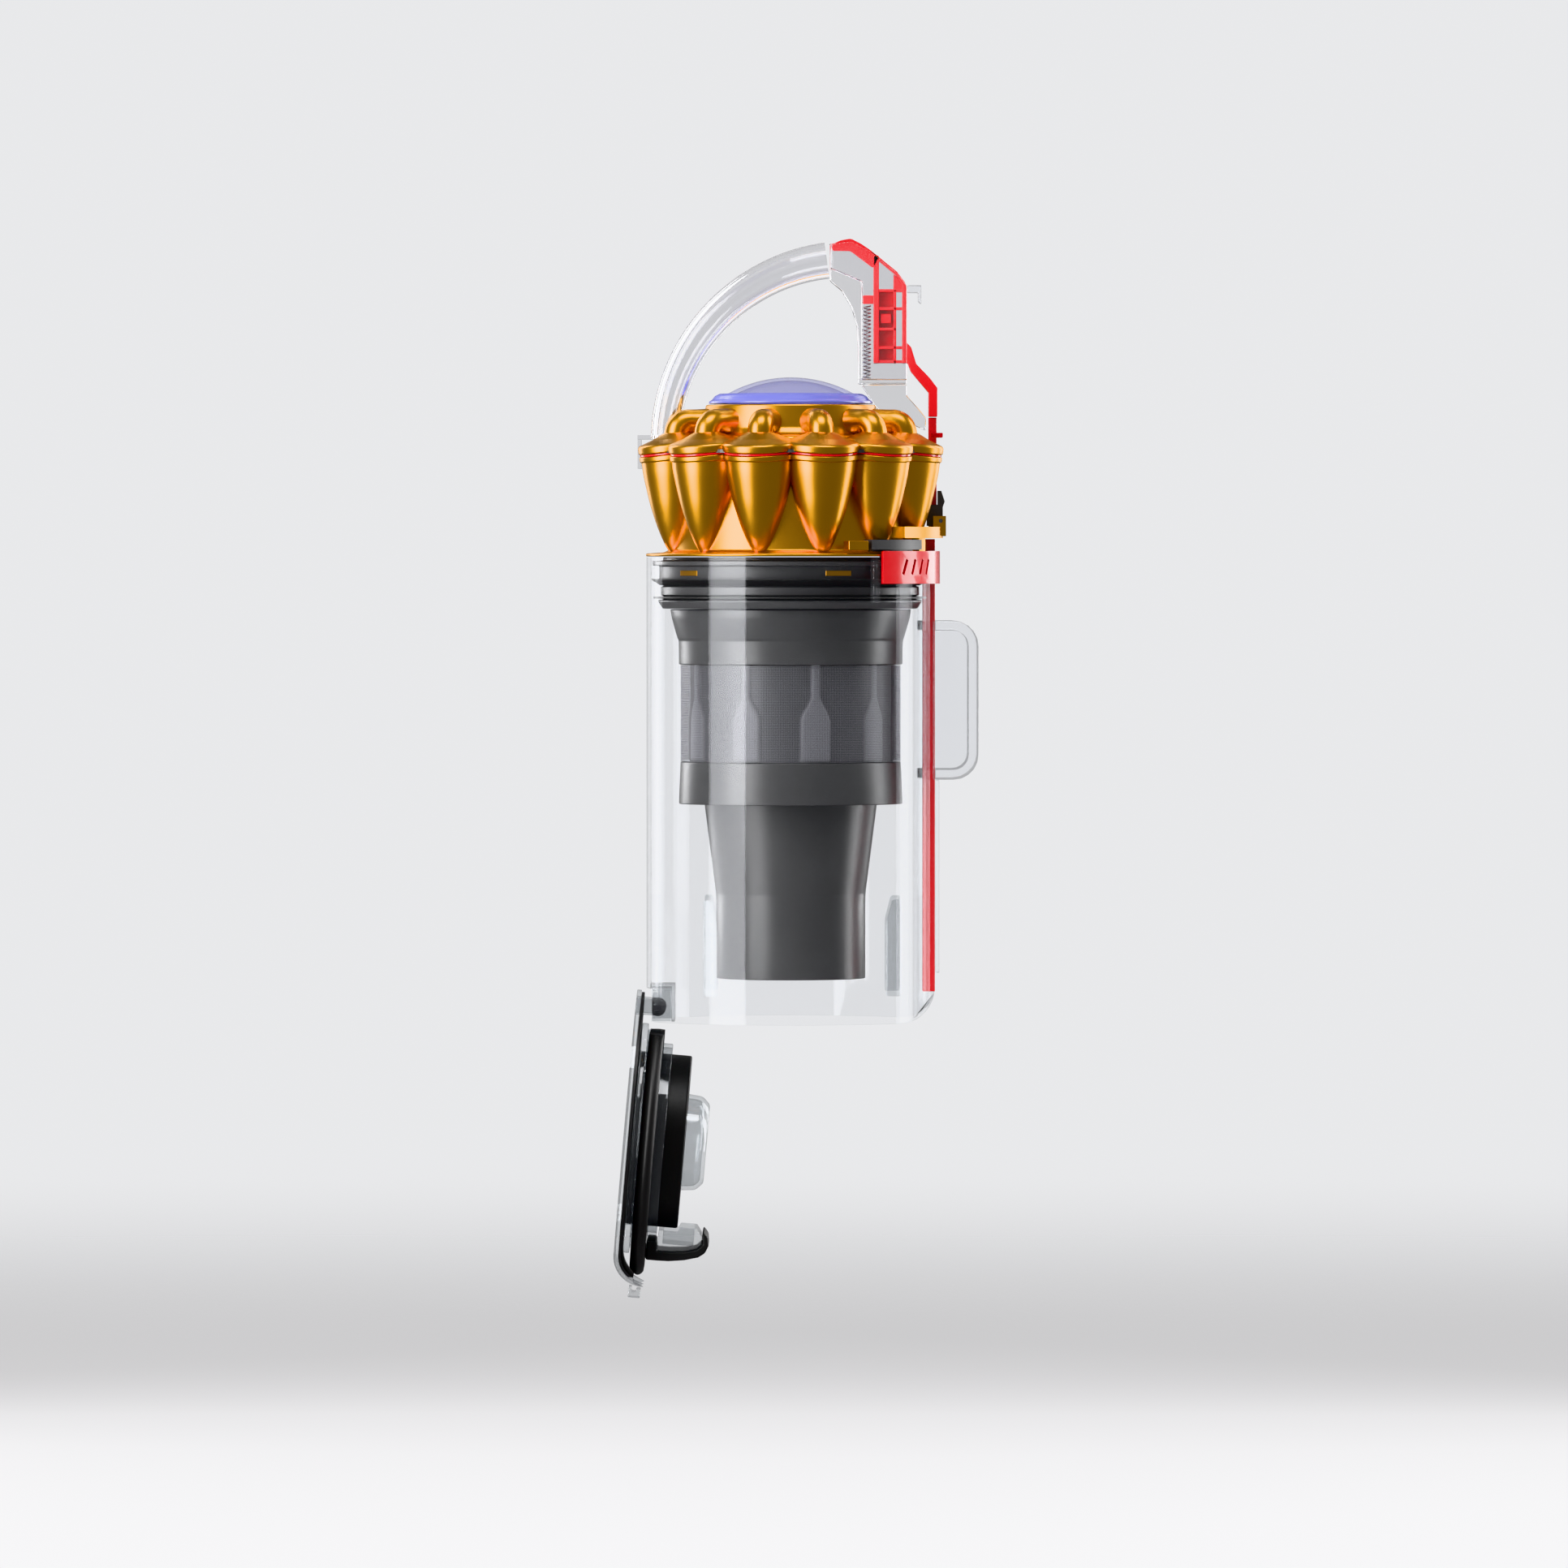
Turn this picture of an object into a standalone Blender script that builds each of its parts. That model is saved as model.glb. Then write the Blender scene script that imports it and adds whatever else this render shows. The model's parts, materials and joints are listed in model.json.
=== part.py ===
"""Removable dust bin and cyclone pack of an upright vacuum cleaner, with its base flap hanging open.

Heights below are measured from the bin's bottom rim, in millimetres, and the bin's axis is Z.
Everything hangs from one empty, which puts the origin at the middle of the carry grip.
The release rod runs down the +X side. Closed-flap coordinates are turned open by the flap's empty.
"""

from math import asin, cos, degrees, pi, radians, sin, sqrt

import bmesh
import bpy
from mathutils import Matrix, Vector

MM = 0.001
GRIP_HEIGHT = 392.0
RING_STEPS = 24
BIN_STEPS = 48
CONE_STEPS = 12
HOLLOW_STEPS = 8

BIN_RADIUS = 75.0
BIN_WALL = 2.2
BIN_HEIGHT = 241.0
BIN_BORE = BIN_RADIUS - BIN_WALL
CORNER_X = 57.0
CORNER_RADIUS = 18.0
CHANNEL_FLOOR = 66.0
CHANNEL_WALL = 2.0
CHANNEL_HALF = 7.0
POCKET_X = -62.0
POCKET_ROOF = 17.0
POCKET_HALF = 19.5
CHEEK = 2.5

HINGE_X = -69.0
HINGE_Z = 7.0
OPEN_ANGLE = 95.0
PIN_RADIUS = 2.0
FLAP_RADIUS = 77.0
FLAP_FACE = -4.5
FLAP_BEND_X = 59.0
FLAP_BEND_RADIUS = 18.0
FLAP_CHORD = -56.0

CONES = 12
CONE_CIRCLE = 61.5
CONE_TOP_RADIUS = 18.2
CONE_TIP_RADIUS = 3.2
CONE_TIP = 243.6
CONE_SHOULDER = 285.6
CONE_TOP = 292.6
CONE_WALL = 2.6
RIM_RADIUS = 19.6
RIM_TOP = 300.8
FLANGE_RADIUS = 75.3
DRUM_TOP = 320.3

ARCH_X = 32.0
ARCH_Z = 300.8
ARCH_RADIUS = 104.8
ARCH_FOOT_DEPTH = 14.8
ARCH_JOINT_DEPTH = 19.0
JOINT_X = 18.8
HANDLE_HALF = 11.0
POCKET_SIDE = 8.0
CATCH_X = 77.9
CATCH_Z = 259.9
ROD_X = 72.0
ROD_Z = 130.0

SHARED_PLANES = ("cyclone_body", "cyclone_cover", "cyclone_gasket", "vortex_plate")

FINISHES = {
    "clear": ((0.86, 0.88, 0.92), 0.08, 0.0),
    "gold": ((0.62, 0.36, 0.05), 0.28, 1.0),
    "red": ((0.62, 0.01, 0.02), 0.3, 0.0),
    "iron": ((0.10, 0.10, 0.11), 0.42, 0.0),
    "rubber": ((0.02, 0.02, 0.022), 0.7, 0.0),
    "mesh": ((0.22, 0.22, 0.24), 0.5, 0.0),
    "lavender": ((0.33, 0.32, 0.62), 0.3, 0.0),
    "foam": ((0.75, 0.75, 0.78), 0.95, 0.0),
    "steel": ((0.6, 0.6, 0.62), 0.3, 1.0),
}


def clear_scene():
    for thing in list(bpy.data.objects):
        bpy.data.objects.remove(thing, do_unlink=True)


def finish(name):
    """The named plastic, rubber or metal as a Principled material, made once."""
    if name in bpy.data.materials:
        return bpy.data.materials[name]
    colour, roughness, metallic = FINISHES[name]
    material = bpy.data.materials.new(name)
    material.use_nodes = True
    shader = material.node_tree.nodes["Principled BSDF"]
    shader.inputs["Base Color"].default_value = (*colour, 1.0)
    shader.inputs["Roughness"].default_value = roughness
    shader.inputs["Metallic"].default_value = metallic
    return material


def empty(name, x=0.0, z=0.0, parent=None):
    holder = bpy.data.objects.new(name, None)
    holder.location = (x * MM, 0.0, z * MM)
    holder.parent = parent
    bpy.context.scene.collection.objects.link(holder)
    return holder


def solid(name, points, faces, look=None):
    """A closed mesh from points in millimetres, with its faces turned outwards."""
    mesh = bpy.data.meshes.new(name)
    mesh.from_pydata([Vector(p) * MM for p in points], [], faces)
    shape = bmesh.new()
    shape.from_mesh(mesh)
    bmesh.ops.recalc_face_normals(shape, faces=shape.faces)
    shape.to_mesh(mesh)
    shape.free()
    mesh.shade_smooth()
    mesh.set_sharp_from_angle(angle=radians(35))
    made = bpy.data.objects.new(name, mesh)
    bpy.context.scene.collection.objects.link(made)
    if look:
        mesh.materials.append(finish(look))
    return made


def turned(name, profile, look=None, x=0.0, y=0.0, steps=RING_STEPS):
    """A closed (radius, height) outline turned about a vertical axis at x, y."""
    rows = []
    points = []
    for radius, height in profile:
        count = steps if radius > 0.001 else 1
        rows.append(range(len(points), len(points) + count))
        for k in range(count):
            angle = 2 * pi * k / steps
            points.append((x + radius * cos(angle), y + radius * sin(angle), height))
    faces = []
    for low, high in zip(rows, rows[1:] + rows[:1]):
        for k in range(steps):
            after = (k + 1) % steps
            ring = [low[k % len(low)], low[after % len(low)], high[after % len(high)], high[k % len(high)]]
            face = list(dict.fromkeys(ring))
            if len(face) > 2:
                faces.append(face)
    return solid(name, points, faces, look)


def extruded(name, outline, low, high, look=None, along="Y"):
    """A flat outline carried from low to high: (x, z) points along Y, or (x, y) points along Z."""
    count = len(outline)
    points = []
    for level in (low, high):
        points += [(a, level, b) if along == "Y" else (a, b, level) for a, b in outline]
    faces = [list(range(count)), list(range(count, 2 * count))[::-1]]
    faces += [[k, (k + 1) % count, count + (k + 1) % count, count + k] for k in range(count)]
    return solid(name, points, faces, look)


def block(name, x, y, z, look=None):
    corners = [(x[0], z[0]), (x[1], z[0]), (x[1], z[1]), (x[0], z[1])]
    return extruded(name, corners, y[0], y[1], look)


def arc(x, z, radius, start, end, steps):
    """Points round part of a circle, its angles in degrees."""
    turns = [radians(start + (end - start) * k / steps) for k in range(steps + 1)]
    return [(x + radius * cos(t), z + radius * sin(t)) for t in turns]


def sector(name, inner, outer, start, end, z, look=None, steps=5):
    """A curved bar round the bin's axis between two radii, two angles from +X and two heights."""
    outline = arc(0, 0, outer, start, end, steps) + arc(0, 0, inner, end, start, steps)
    return extruded(name, outline, z[0], z[1], look, along="Z")


def bar_along_y(name, x, z, radius, half, look=None, steps=24):
    return extruded(name, arc(x, z, radius, 0, 360 - 360 / steps, steps - 1), -half, half, look)


def swept(name, centres, sections, look=None):
    """Rings of points carried along a path and closed at both ends."""
    points = []
    for centre, ring in zip(centres, sections):
        points += [tuple(Vector(centre) + Vector(p)) for p in ring]
    count = len(sections[0])
    faces = [list(range(count)), list(range(len(points) - count, len(points)))[::-1]]
    for row in range(len(centres) - 1):
        base = row * count
        for k in range(count):
            after = (k + 1) % count
            faces.append([base + k, base + after, base + count + after, base + count + k])
    return solid(name, points, faces, look)


def combine(target, other, operation):
    """A live Boolean whose tool stays in the file as a hidden wire shape.

    The cones, lids and plates share planes all round the circle, which only the manifold solver
    joins cleanly; every shape here is closed, as it needs."""
    other.hide_render = True
    other.display_type = "WIRE"
    change = target.modifiers.new(f"{operation.lower()} {other.name}", "BOOLEAN")
    change.operation = operation
    change.solver = "MANIFOLD" if target.name in SHARED_PLANES else "EXACT"
    change.object = other
    return target


def cut(target, *tools):
    for tool in tools:
        combine(target, tool, "DIFFERENCE")
    return target


def add(target, *tools):
    for tool in tools:
        combine(target, tool, "UNION")
    return target


def keep(target, tool):
    return combine(target, tool, "INTERSECT")


def hang(holder, pivot, *objects):
    """Parents objects drawn in bench coordinates to an empty that stands at a pivot."""
    shift = Matrix.Translation(Vector((-pivot[0], -pivot[1], -pivot[2])) * MM)
    for thing in objects:
        tools = [m.object for m in thing.modifiers if m.type == "BOOLEAN"]
        for mover in [thing, *tools]:
            if mover.parent is None:
                mover.data.transform(shift)
                mover.parent = holder


def cone_angles():
    """The cones stand at even steps, half a step either side of the front and of the rod."""
    step = 360.0 / CONES
    return [step * (k + 0.5) for k in range(CONES)]


def at_cones(name, profile, steps):
    """One turned copy of a (radius, height) outline on each cone's axis."""
    turns = [radians(angle) for angle in cone_angles()]
    return [
        turned(f"{name}_{k}", profile, x=CONE_CIRCLE * cos(turn), y=CONE_CIRCLE * sin(turn), steps=steps)
        for k, turn in enumerate(turns)
    ]


# Bin


def bin_shell():
    profile = [(BIN_BORE, 0), (BIN_RADIUS, 0), (BIN_RADIUS, BIN_HEIGHT), (BIN_BORE, BIN_HEIGHT)]
    shell = turned("clear_bin", profile, "clear", steps=BIN_STEPS)
    outside = turned("bin_outside", [(0, -1), (BIN_RADIUS, -1), (BIN_RADIUS, 250), (0, 250)], steps=BIN_STEPS)
    half = CHANNEL_HALF + CHANNEL_WALL
    channel = block("channel_walls", (CHANNEL_FLOOR - CHANNEL_WALL, 80), (-half, half), (0, BIN_HEIGHT))
    pocket_half = POCKET_HALF + CHEEK
    pocket_top = POCKET_ROOF + BIN_WALL
    pocket_box = block("hinge_box", (-80, POCKET_X + BIN_WALL), (-pocket_half, pocket_half), (0, pocket_top))
    keep(channel, outside)
    keep(pocket_box, outside)
    add(shell, channel, pocket_box)
    for side in (-1, 1):
        add(shell, dust_fin(side, 128.0, "left"), dust_fin(side, 38.0, "right"))
        start = 53.8 * side
        add(shell, sector(f"plate_guide{side}", 74.2, 78.0, start, start + 3 * side, (217.6, 240.6), steps=2))
    slot = block("channel_slot", (CHANNEL_FLOOR, 80), (-CHANNEL_HALF, CHANNEL_HALF), (-1, BIN_HEIGHT + 1))
    pocket = block("hinge_pocket", (-80, POCKET_X), (-POCKET_HALF, POCKET_HALF), (-1, POCKET_ROOF))
    pin_holes = bar_along_y("pin_holes", HINGE_X, HINGE_Z, PIN_RADIUS + 0.08, 24)
    window = block("inlet_window", (50, 80), (14, 44), (134, 199))
    cut(shell, slot, pocket, pin_holes, window, corner_cutter())
    return shell


def dust_fin(side, angle, name):
    """A thin upright rib standing in from the wall, which stops fluff from turning with the air."""
    fin = block(f"fin_{name}{side}", (63.0, BIN_RADIUS - 1), (-0.8, 0.8), (14.0, 64.0))
    fin.data.transform(Matrix.Rotation(radians(angle * side), 4, "Z"))
    return fin


def corner_cutter():
    """What is missing where the bin's bottom rises in a round corner below the rod."""
    bend = arc(CORNER_X, CORNER_RADIUS, CORNER_RADIUS, 0, -90, 8)
    outline = [(90, CORNER_RADIUS), *bend, (CORNER_X, -2), (90, -2)]
    return extruded("bin_corner", outline, -80, 80)


def inlet_port():
    """A D-shaped duct on the bin's side, open at its +Y mouth and towards the bin."""
    left, right, low, high, bend, wall = 66.0, 97.5, 125.5, 207.9, 13.0, 5.0
    near, mouth = -16.0, 52.0

    def outline(inset):
        radius = bend - inset
        upper = arc(right - bend, high - bend, radius, 90, 0, 5)
        lower = arc(right - bend, low + bend, radius, 0, -90, 5)
        return [(left, high - inset), *upper, *lower, (left, low + inset)]

    port = extruded("inlet_port", outline(0), near, mouth, "clear")
    duct = extruded("port_duct", outline(wall), near + wall, mouth + 2)
    bin_side = turned("port_seat", [(0, 110), (75.4, 110), (75.4, 220), (0, 220)], steps=BIN_STEPS)
    return cut(port, duct, bin_side)


def rod_guide():
    return block("rod_guide", (75.4, 77.2), (-8.5, 8.5), (25.0, 125.0), "clear")


def hinge_pin():
    return bar_along_y("hinge_pin", HINGE_X, HINGE_Z, PIN_RADIUS, POCKET_HALF + CHEEK - 0.3, "steel")


# Base flap, drawn closed


def flap_sheet(name, near, far, radius, look=None):
    """A layer of the flap: flat, then bent up at its free end, between two depths from its face."""
    turn = FLAP_BEND_RADIUS
    centre = FLAP_FACE + turn
    outer = [(-90, FLAP_FACE + near)] + arc(FLAP_BEND_X, centre, turn - near, -90, 0, 8)
    inner = arc(FLAP_BEND_X, centre, turn - far, 0, -90, 8) + [(-90, FLAP_FACE + far)]
    sheet = extruded(name, outer + inner, -90, 90, look)
    disc = turned(f"{name}_edge", [(0, -20), (radius, -20), (radius, 40), (0, 40)], steps=BIN_STEPS)
    return keep(sheet, disc)


def flap_plate():
    plate = flap_sheet("flap_plate", 0.0, 2.2, FLAP_RADIUS, "clear")
    lug = bar_along_y("lug_round", HINGE_X, HINGE_Z, 4.2, POCKET_HALF - 0.6)
    web = block("lug_web", (HINGE_X - 4.2, HINGE_X + 4.2), (-18.9, 18.9), (FLAP_FACE, HINGE_Z))
    bore = bar_along_y("lug_bore", HINGE_X, HINGE_Z, PIN_RADIUS + 0.08, 24)
    rod_way = block("rod_way", (66.0, 75.3), (-6.5, 6.5), (6.9, 40.0))
    add(plate, lug, web)
    return cut(plate, bore, rod_way)


def flap_gasket():
    gasket = flap_sheet("flap_gasket", 2.5, 3.9, FLAP_RADIUS - 1, "rubber")
    hole = turned("gasket_hole", [(0, -20), (56, -20), (56, 40), (0, 40)])
    hinge_relief = block("gasket_relief", (-90, HINGE_X + 5), (-24, 24), (-20, 40))
    bend_relief = block("gasket_end", (71.4, 90), (-90, 90), (-20, 40))
    return cut(gasket, hole, hinge_relief, bend_relief)


def clear_of_bin(piece):
    """Trims an inner piece of the flap where the hinge pocket and the rod's channel come in."""
    name = piece.name
    hinge_side = block(f"{name}_hinge_side", (-90, FLAP_CHORD), (-90, 90), (-30, 60))
    rod_side = block(f"{name}_rod_side", (62.5, 90), (-11.5, 11.5), (-30, 60))
    return cut(piece, hinge_side, rod_side)


def flap_rim_seal():
    profile = [(60.4, 3.9), (68.2, 3.9), (71.6, 7.3), (71.6, 9.4), (69.6, 11.5), (60.4, 11.5)]
    return clear_of_bin(turned("flap_rim_seal", profile, "rubber"))


def inner_tray():
    floor = [(45.4, -0.2), (60.0, -0.2), (60.0, 3.0), (50.4, 3.0)]
    wall = [(50.4, 16.5), (48.4, 16.5), (48.4, 3.0), (45.4, 3.0)]
    return turned("inner_tray", floor + wall, "clear")


def collector_seal():
    """A soft ring that closes on the dust cone's end, with a taller outer lip."""
    lip = [(37.0, -0.2), (45.0, -0.2), (45.0, 25.6), (44.2, 27.0), (42.8, 27.0), (42.8, 21.5)]
    return turned("collector_seal", lip + [(38.0, 21.5), (37.0, 19.5)], "rubber")


def collector_cup():
    outer = [(36.6, -0.2), (36.6, 2.4), (27.5, 3.2), (24.4, 34.5), (20.5, 38.4), (0, 38.4)]
    inner = [(0, 36.4), (19.6, 36.4), (22.4, 33.6), (25.4, 1.6), (25.4, -0.2)]
    return turned("collector_cup", outer + inner, "clear")


def duct_boot():
    """A dark rubber boot of J section at the free end, hollow where its clear window sits."""
    outer = [(50.9, 11.8), (61.4, 11.8), (61.4, 18), (61.2, 24), (60, 32), (58, 39), (55.5, 42.5), (51.5, 44)]
    inner = [(47, 43.4), (44, 40.6), (46.6, 40.2), (51, 40.6), (54, 38), (55.6, 32), (56.4, 24), (56.4, 17.2)]
    return extruded("duct_boot", outer + inner + [(50.9, 16.9)], -26, 26, "rubber")


def boot_window():
    """The clear duct inside the boot, open towards the bin's axis."""
    back = [(45.6, 17.5), (56.0, 17.5), (56.0, 24.0), (55.2, 31.9), (53.6, 37.7), (50.8, 40.2)]
    front = [(46.8, 39.8), (43.2, 37.0), (43.2, 28.6), (45.6, 27.6)]
    duct = extruded("boot_window", back + front, -25.0, 25.0, "clear")
    return cut(duct, block("duct_hollow", (30.0, 52.6), (-22.4, 22.4), (20.0, 36.0)))


def flap_catch():
    """The hook outside the flap's free end that the bin's latch holds."""
    outer = [(77.0, 4.4), (82.6, 4.4), (82.6, 10.6), (77.9, 10.6)]
    inner = [(77.9, 8.6), (79.6, 8.2), (79.6, 6.0), (77.0, 6.0)]
    return extruded("flap_catch", outer + inner, -9, 9, "clear")


# Release rod on the bin


def release_rod():
    rod = block("release_rod", (68.5, 75.0), (-6.0, 6.0), (15.2, 250.4), "red")
    rib = block("rod_groove", (72.6, 90), (-3.2, 3.2), (20, 222))
    return cut(rod, rib)


def rod_plate():
    plate = sector("rod_plate", 75.8, 77.6, -52, 52, (227.3, 244.2), "red", steps=14)
    for side in (-1, 1):
        for k in range(4):
            slot = block(f"plate_slot{side}{k}", (70, 85), (-0.9, 0.9), (-4.2, 4.2))
            slot.data.transform(Matrix.Rotation(radians(22 * side), 4, "X"))
            slot.data.transform(Matrix.Translation((0, 0, 0.236)))
            slot.data.transform(Matrix.Rotation(radians(side * (24 + 5.4 * k)), 4, "Z"))
            cut(plate, slot)
    return plate


# Cyclone pack


def push_rod_notch(name):
    """The straight way that the push rod takes past flange, cones and rims."""
    return block(name, (70.6, 95), (-4.6, 4.6), (243.0, 330.0))


def channel_notch(name, inner):
    return block(name, (inner, 95), (-10.6, 10.6), (200.0, 249.0))


def cyclone_body():
    """Flange, drum and a circle of cones, hollow from above and joined into one moulding."""
    profile = [(FLANGE_RADIUS, 241.4), (FLANGE_RADIUS, 243.0), (63.4, 244.4), (57.0, 292.6)]
    body = turned("cyclone_body", profile + [(50.0, 292.6), (50.0, 241.4)], "gold")
    radii = [(0, CONE_TIP), (CONE_TIP_RADIUS, CONE_TIP), (CONE_TOP_RADIUS, CONE_SHOULDER)]
    outside = radii + [(CONE_TOP_RADIUS, CONE_TOP), (0, CONE_TOP)]
    hollow = CONE_TOP_RADIUS - CONE_WALL
    inside = [(0, 252), (4.0, 252), (hollow, CONE_SHOULDER + 1)]
    inside += [(hollow - 1.4, CONE_TOP + 4), (0, CONE_TOP + 4)]
    add(body, *at_cones("cone", outside, CONE_STEPS))
    bore = turned("drum_bore", [(0, 230), (50.0, 230), (50.0, 300), (0, 300)])
    cut(body, bore, *at_cones("cone_hollow", inside, HOLLOW_STEPS))
    return cut(body, channel_notch("flange_notch", 66.5), push_rod_notch("body_notch"))


def scalloped(name, radius, low, high, inner, look=None):
    """A plate whose edge follows the circle of cones, with a round hole."""
    plate = turned(name, [(inner, low), (CONE_CIRCLE, low), (CONE_CIRCLE, high), (inner, high)], look)
    disc = [(0, low), (radius, low), (radius, high), (0, high)]
    return add(plate, *at_cones(f"{name}_disc", disc, CONE_STEPS))


def cyclone_gasket():
    """A thin red sheet under the lids, with a hole for each cone's tube."""
    gasket = scalloped("cyclone_gasket", RIM_RADIUS - 0.5, 293.0, 294.4, 45.0, "red")
    hole = [(0, 285), (9.0, 285), (9.0, 299), (0, 299)]
    return cut(gasket, *at_cones("finder_hole", hole, HOLLOW_STEPS), push_rod_notch("gasket_notch"))


def vortex_plate():
    """The plate under the cover: a tube hangs from it into the top of each cone."""
    plate = turned("vortex_plate", [(45.0, 294.8), (73.0, 294.8), (73.0, 296.6), (45.0, 296.6)], "iron")
    add(plate, *at_cones("finder", [(0, 272), (6.6, 272), (7.6, 296), (0, 296)], HOLLOW_STEPS))
    bores = at_cones("finder_bore", [(0, 270), (5.4, 270), (6.2, 299), (0, 299)], HOLLOW_STEPS)
    return cut(plate, *bores, push_rod_notch("vortex_notch"))


def finger_duct(k, angle):
    """A bent tube from a cone's lid inwards to the drum: a quarter turn, then a level run."""
    path = [(CONE_CIRCLE, 302.0), (CONE_CIRCLE, 307.0), (CONE_CIRCLE - 4.0, 311.8), (42.0, 310.0)]
    tilts = [0, 0, 60, 90]
    widths = [5.8, 5.8, 5.9, 7.4]
    centres = []
    rings = []
    for (reach, height), tilt, width in zip(path, tilts, widths):
        centres.append((reach, 0.0, height))
        lean = radians(tilt)
        ring = [(width * cos(2 * pi * j / 6), width * sin(2 * pi * j / 6)) for j in range(6)]
        rings.append([(a * cos(lean), b, a * sin(lean)) for a, b in ring])
    duct = swept(f"finger_{k}", centres, rings)
    duct.data.transform(Matrix.Rotation(radians(angle), 4, "Z"))
    return duct


def cyclone_cover():
    """Round lids over the cones, finger ducts and the upper drum that takes the filter."""
    profile = [(45.0, 297.0), (56.0, 297.0), (56.0, 303.0), (46.5, 305.0), (43.6, DRUM_TOP)]
    cover = turned("cyclone_cover", profile + [(41.0, DRUM_TOP), (43.4, 305.0)], "gold")
    lid = [(0, 297.0), (RIM_RADIUS, 297.0), (RIM_RADIUS, RIM_TOP), (18.4, 302.0), (7.0, 305.0), (0, 305.0)]
    for k, cone_lid in enumerate(at_cones("lid", lid, CONE_STEPS)):
        add(cover, cone_lid, finger_duct(k, cone_angles()[k]))
    well_outline = [(0, 290), (43.3, 290), (43.3, 305), (41.0, DRUM_TOP), (41.0, 330), (0, 330)]
    well = turned("filter_well", well_outline)
    foot_bed = extruded("foot_bed", foot_outline(0.6), -POCKET_SIDE - 0.5, POCKET_SIDE + 0.5)
    arch_bed = block("arch_bed", (-90, -55.0), (-9.6, 9.6), (301.8, 330))
    return cut(cover, well, foot_bed, arch_bed, push_rod_notch("cover_notch"))


def collar():
    profile = [(66.3, 241.0), (66.3, 239.2), (71.9, 239.0), (71.9, 236.6), (68.4, 236.4), (68.4, 229.2)]
    profile += [(66.2, 228.8), (66.2, 226.0), (67.6, 225.6), (67.6, 221.2), (66.2, 220.9), (66.2, 219.1)]
    profile += [(69.0, 218.8), (69.0, 217.8), (66.6, 214.3), (60.5, 214.3), (60.5, 241.0)]
    ring = turned("collar", profile, "iron")
    for k in range(5):
        slot = block(f"collar_slot_{k}", (66.9, 80), (-7.0, 7.0), (231.2, 234.2))
        slot.data.transform(Matrix.Rotation(radians(-68.8 + 72 * k), 4, "Z"))
        cut(ring, slot)
    return cut(ring, channel_notch("collar_notch", 62.8))


def bin_seal():
    profile = [(66.6, 226.4), (68.2, 226.4), (72.5, 229.2), (72.5, 229.9), (68.4, 228.4), (66.6, 228.4)]
    return cut(turned("bin_seal", profile, "rubber"), channel_notch("seal_notch", 63.6))


def lower_seal():
    profile = [(66.6, 219.5), (71.6, 219.5), (71.6, 220.5), (66.6, 220.5)]
    return cut(turned("lower_seal", profile, "rubber"), channel_notch("lip_notch", 63.6))


def shroud_skirt():
    profile = [(62.6, 213.9), (61.4, 208.0), (58.6, 198.4), (58.2, 190), (58.2, 185.2)]
    inner = [(55.2, 185.2), (55.2, 199.0), (57.8, 208.0), (58.6, 213.9)]
    return turned("shroud_skirt", profile + inner, "iron")


def shroud_screen():
    return turned("shroud_screen", [(56.3, 135.0), (57.3, 135.0), (57.3, 184.8), (56.3, 184.8)], "mesh")


def shroud_core():
    """The wall behind the screen, with an upright rib in front of each cone's line."""
    core = turned("shroud_core", [(50.0, 126.0), (53.0, 126.0), (53.0, 212.0), (50.0, 212.0)], "iron")
    for k, angle in enumerate(cone_angles()):
        rib = block(f"core_rib_{k}", (51.5, 54.6), (-3.2, 3.2), (136.0, 172.0))
        rib.data.transform(Matrix.Rotation(radians(angle), 4, "Z"))
        add(core, rib)
    return core


def lower_skirt():
    profile = [(57.3, 134.6), (58.2, 112.8), (55.6, 112.8), (54.8, 122.0), (47.4, 122.0), (47.4, 125.4)]
    return turned("lower_skirt", profile + [(53.6, 125.4), (53.6, 134.6)], "iron")


def dust_cone():
    outer = [(46.9, 125.0), (44.8, 112.4), (38.8, 65.5), (38.8, 22.0)]
    inner = [(36.8, 22.0), (36.8, 65.5), (42.6, 112.4), (44.9, 125.0)]
    return turned("dust_cone", outer + inner, "iron")


# Handle


def handle_arch():
    """An oval bar bent round a circle, thicker towards the thumb, on a foot plate with a tab."""
    start = 179.0
    end = 90.0 + degrees(asin((ARCH_X - JOINT_X) / (ARCH_RADIUS - ARCH_JOINT_DEPTH / 2)))
    steps = 10
    centres = []
    rings = []
    for k in range(steps + 1):
        share = k / steps
        depth = ARCH_FOOT_DEPTH + (ARCH_JOINT_DEPTH - ARCH_FOOT_DEPTH) * share
        turn = radians(start + (end - start) * share)
        out = (cos(turn), sin(turn))
        reach = ARCH_RADIUS - depth / 2
        centres.append((ARCH_X + reach * out[0], 0.0, ARCH_Z + reach * out[1]))
        across = 8.6 + 2.2 * share
        oval = [(depth / 2 * cos(pi * j / 6), across * sin(pi * j / 6)) for j in range(12)]
        rings.append([(a * out[0], b, a * out[1]) for a, b in oval])
    arch = swept("handle_arch", centres, rings, "clear")
    foot = block("arch_foot", (-79.6, -57.0), (-9.0, 9.0), (302.2, 305.4))
    tab = block("arch_tab", (-79.6, -77.4), (-6.6, 6.6), (286.9, 304.0))
    return add(arch, foot, tab)


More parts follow.
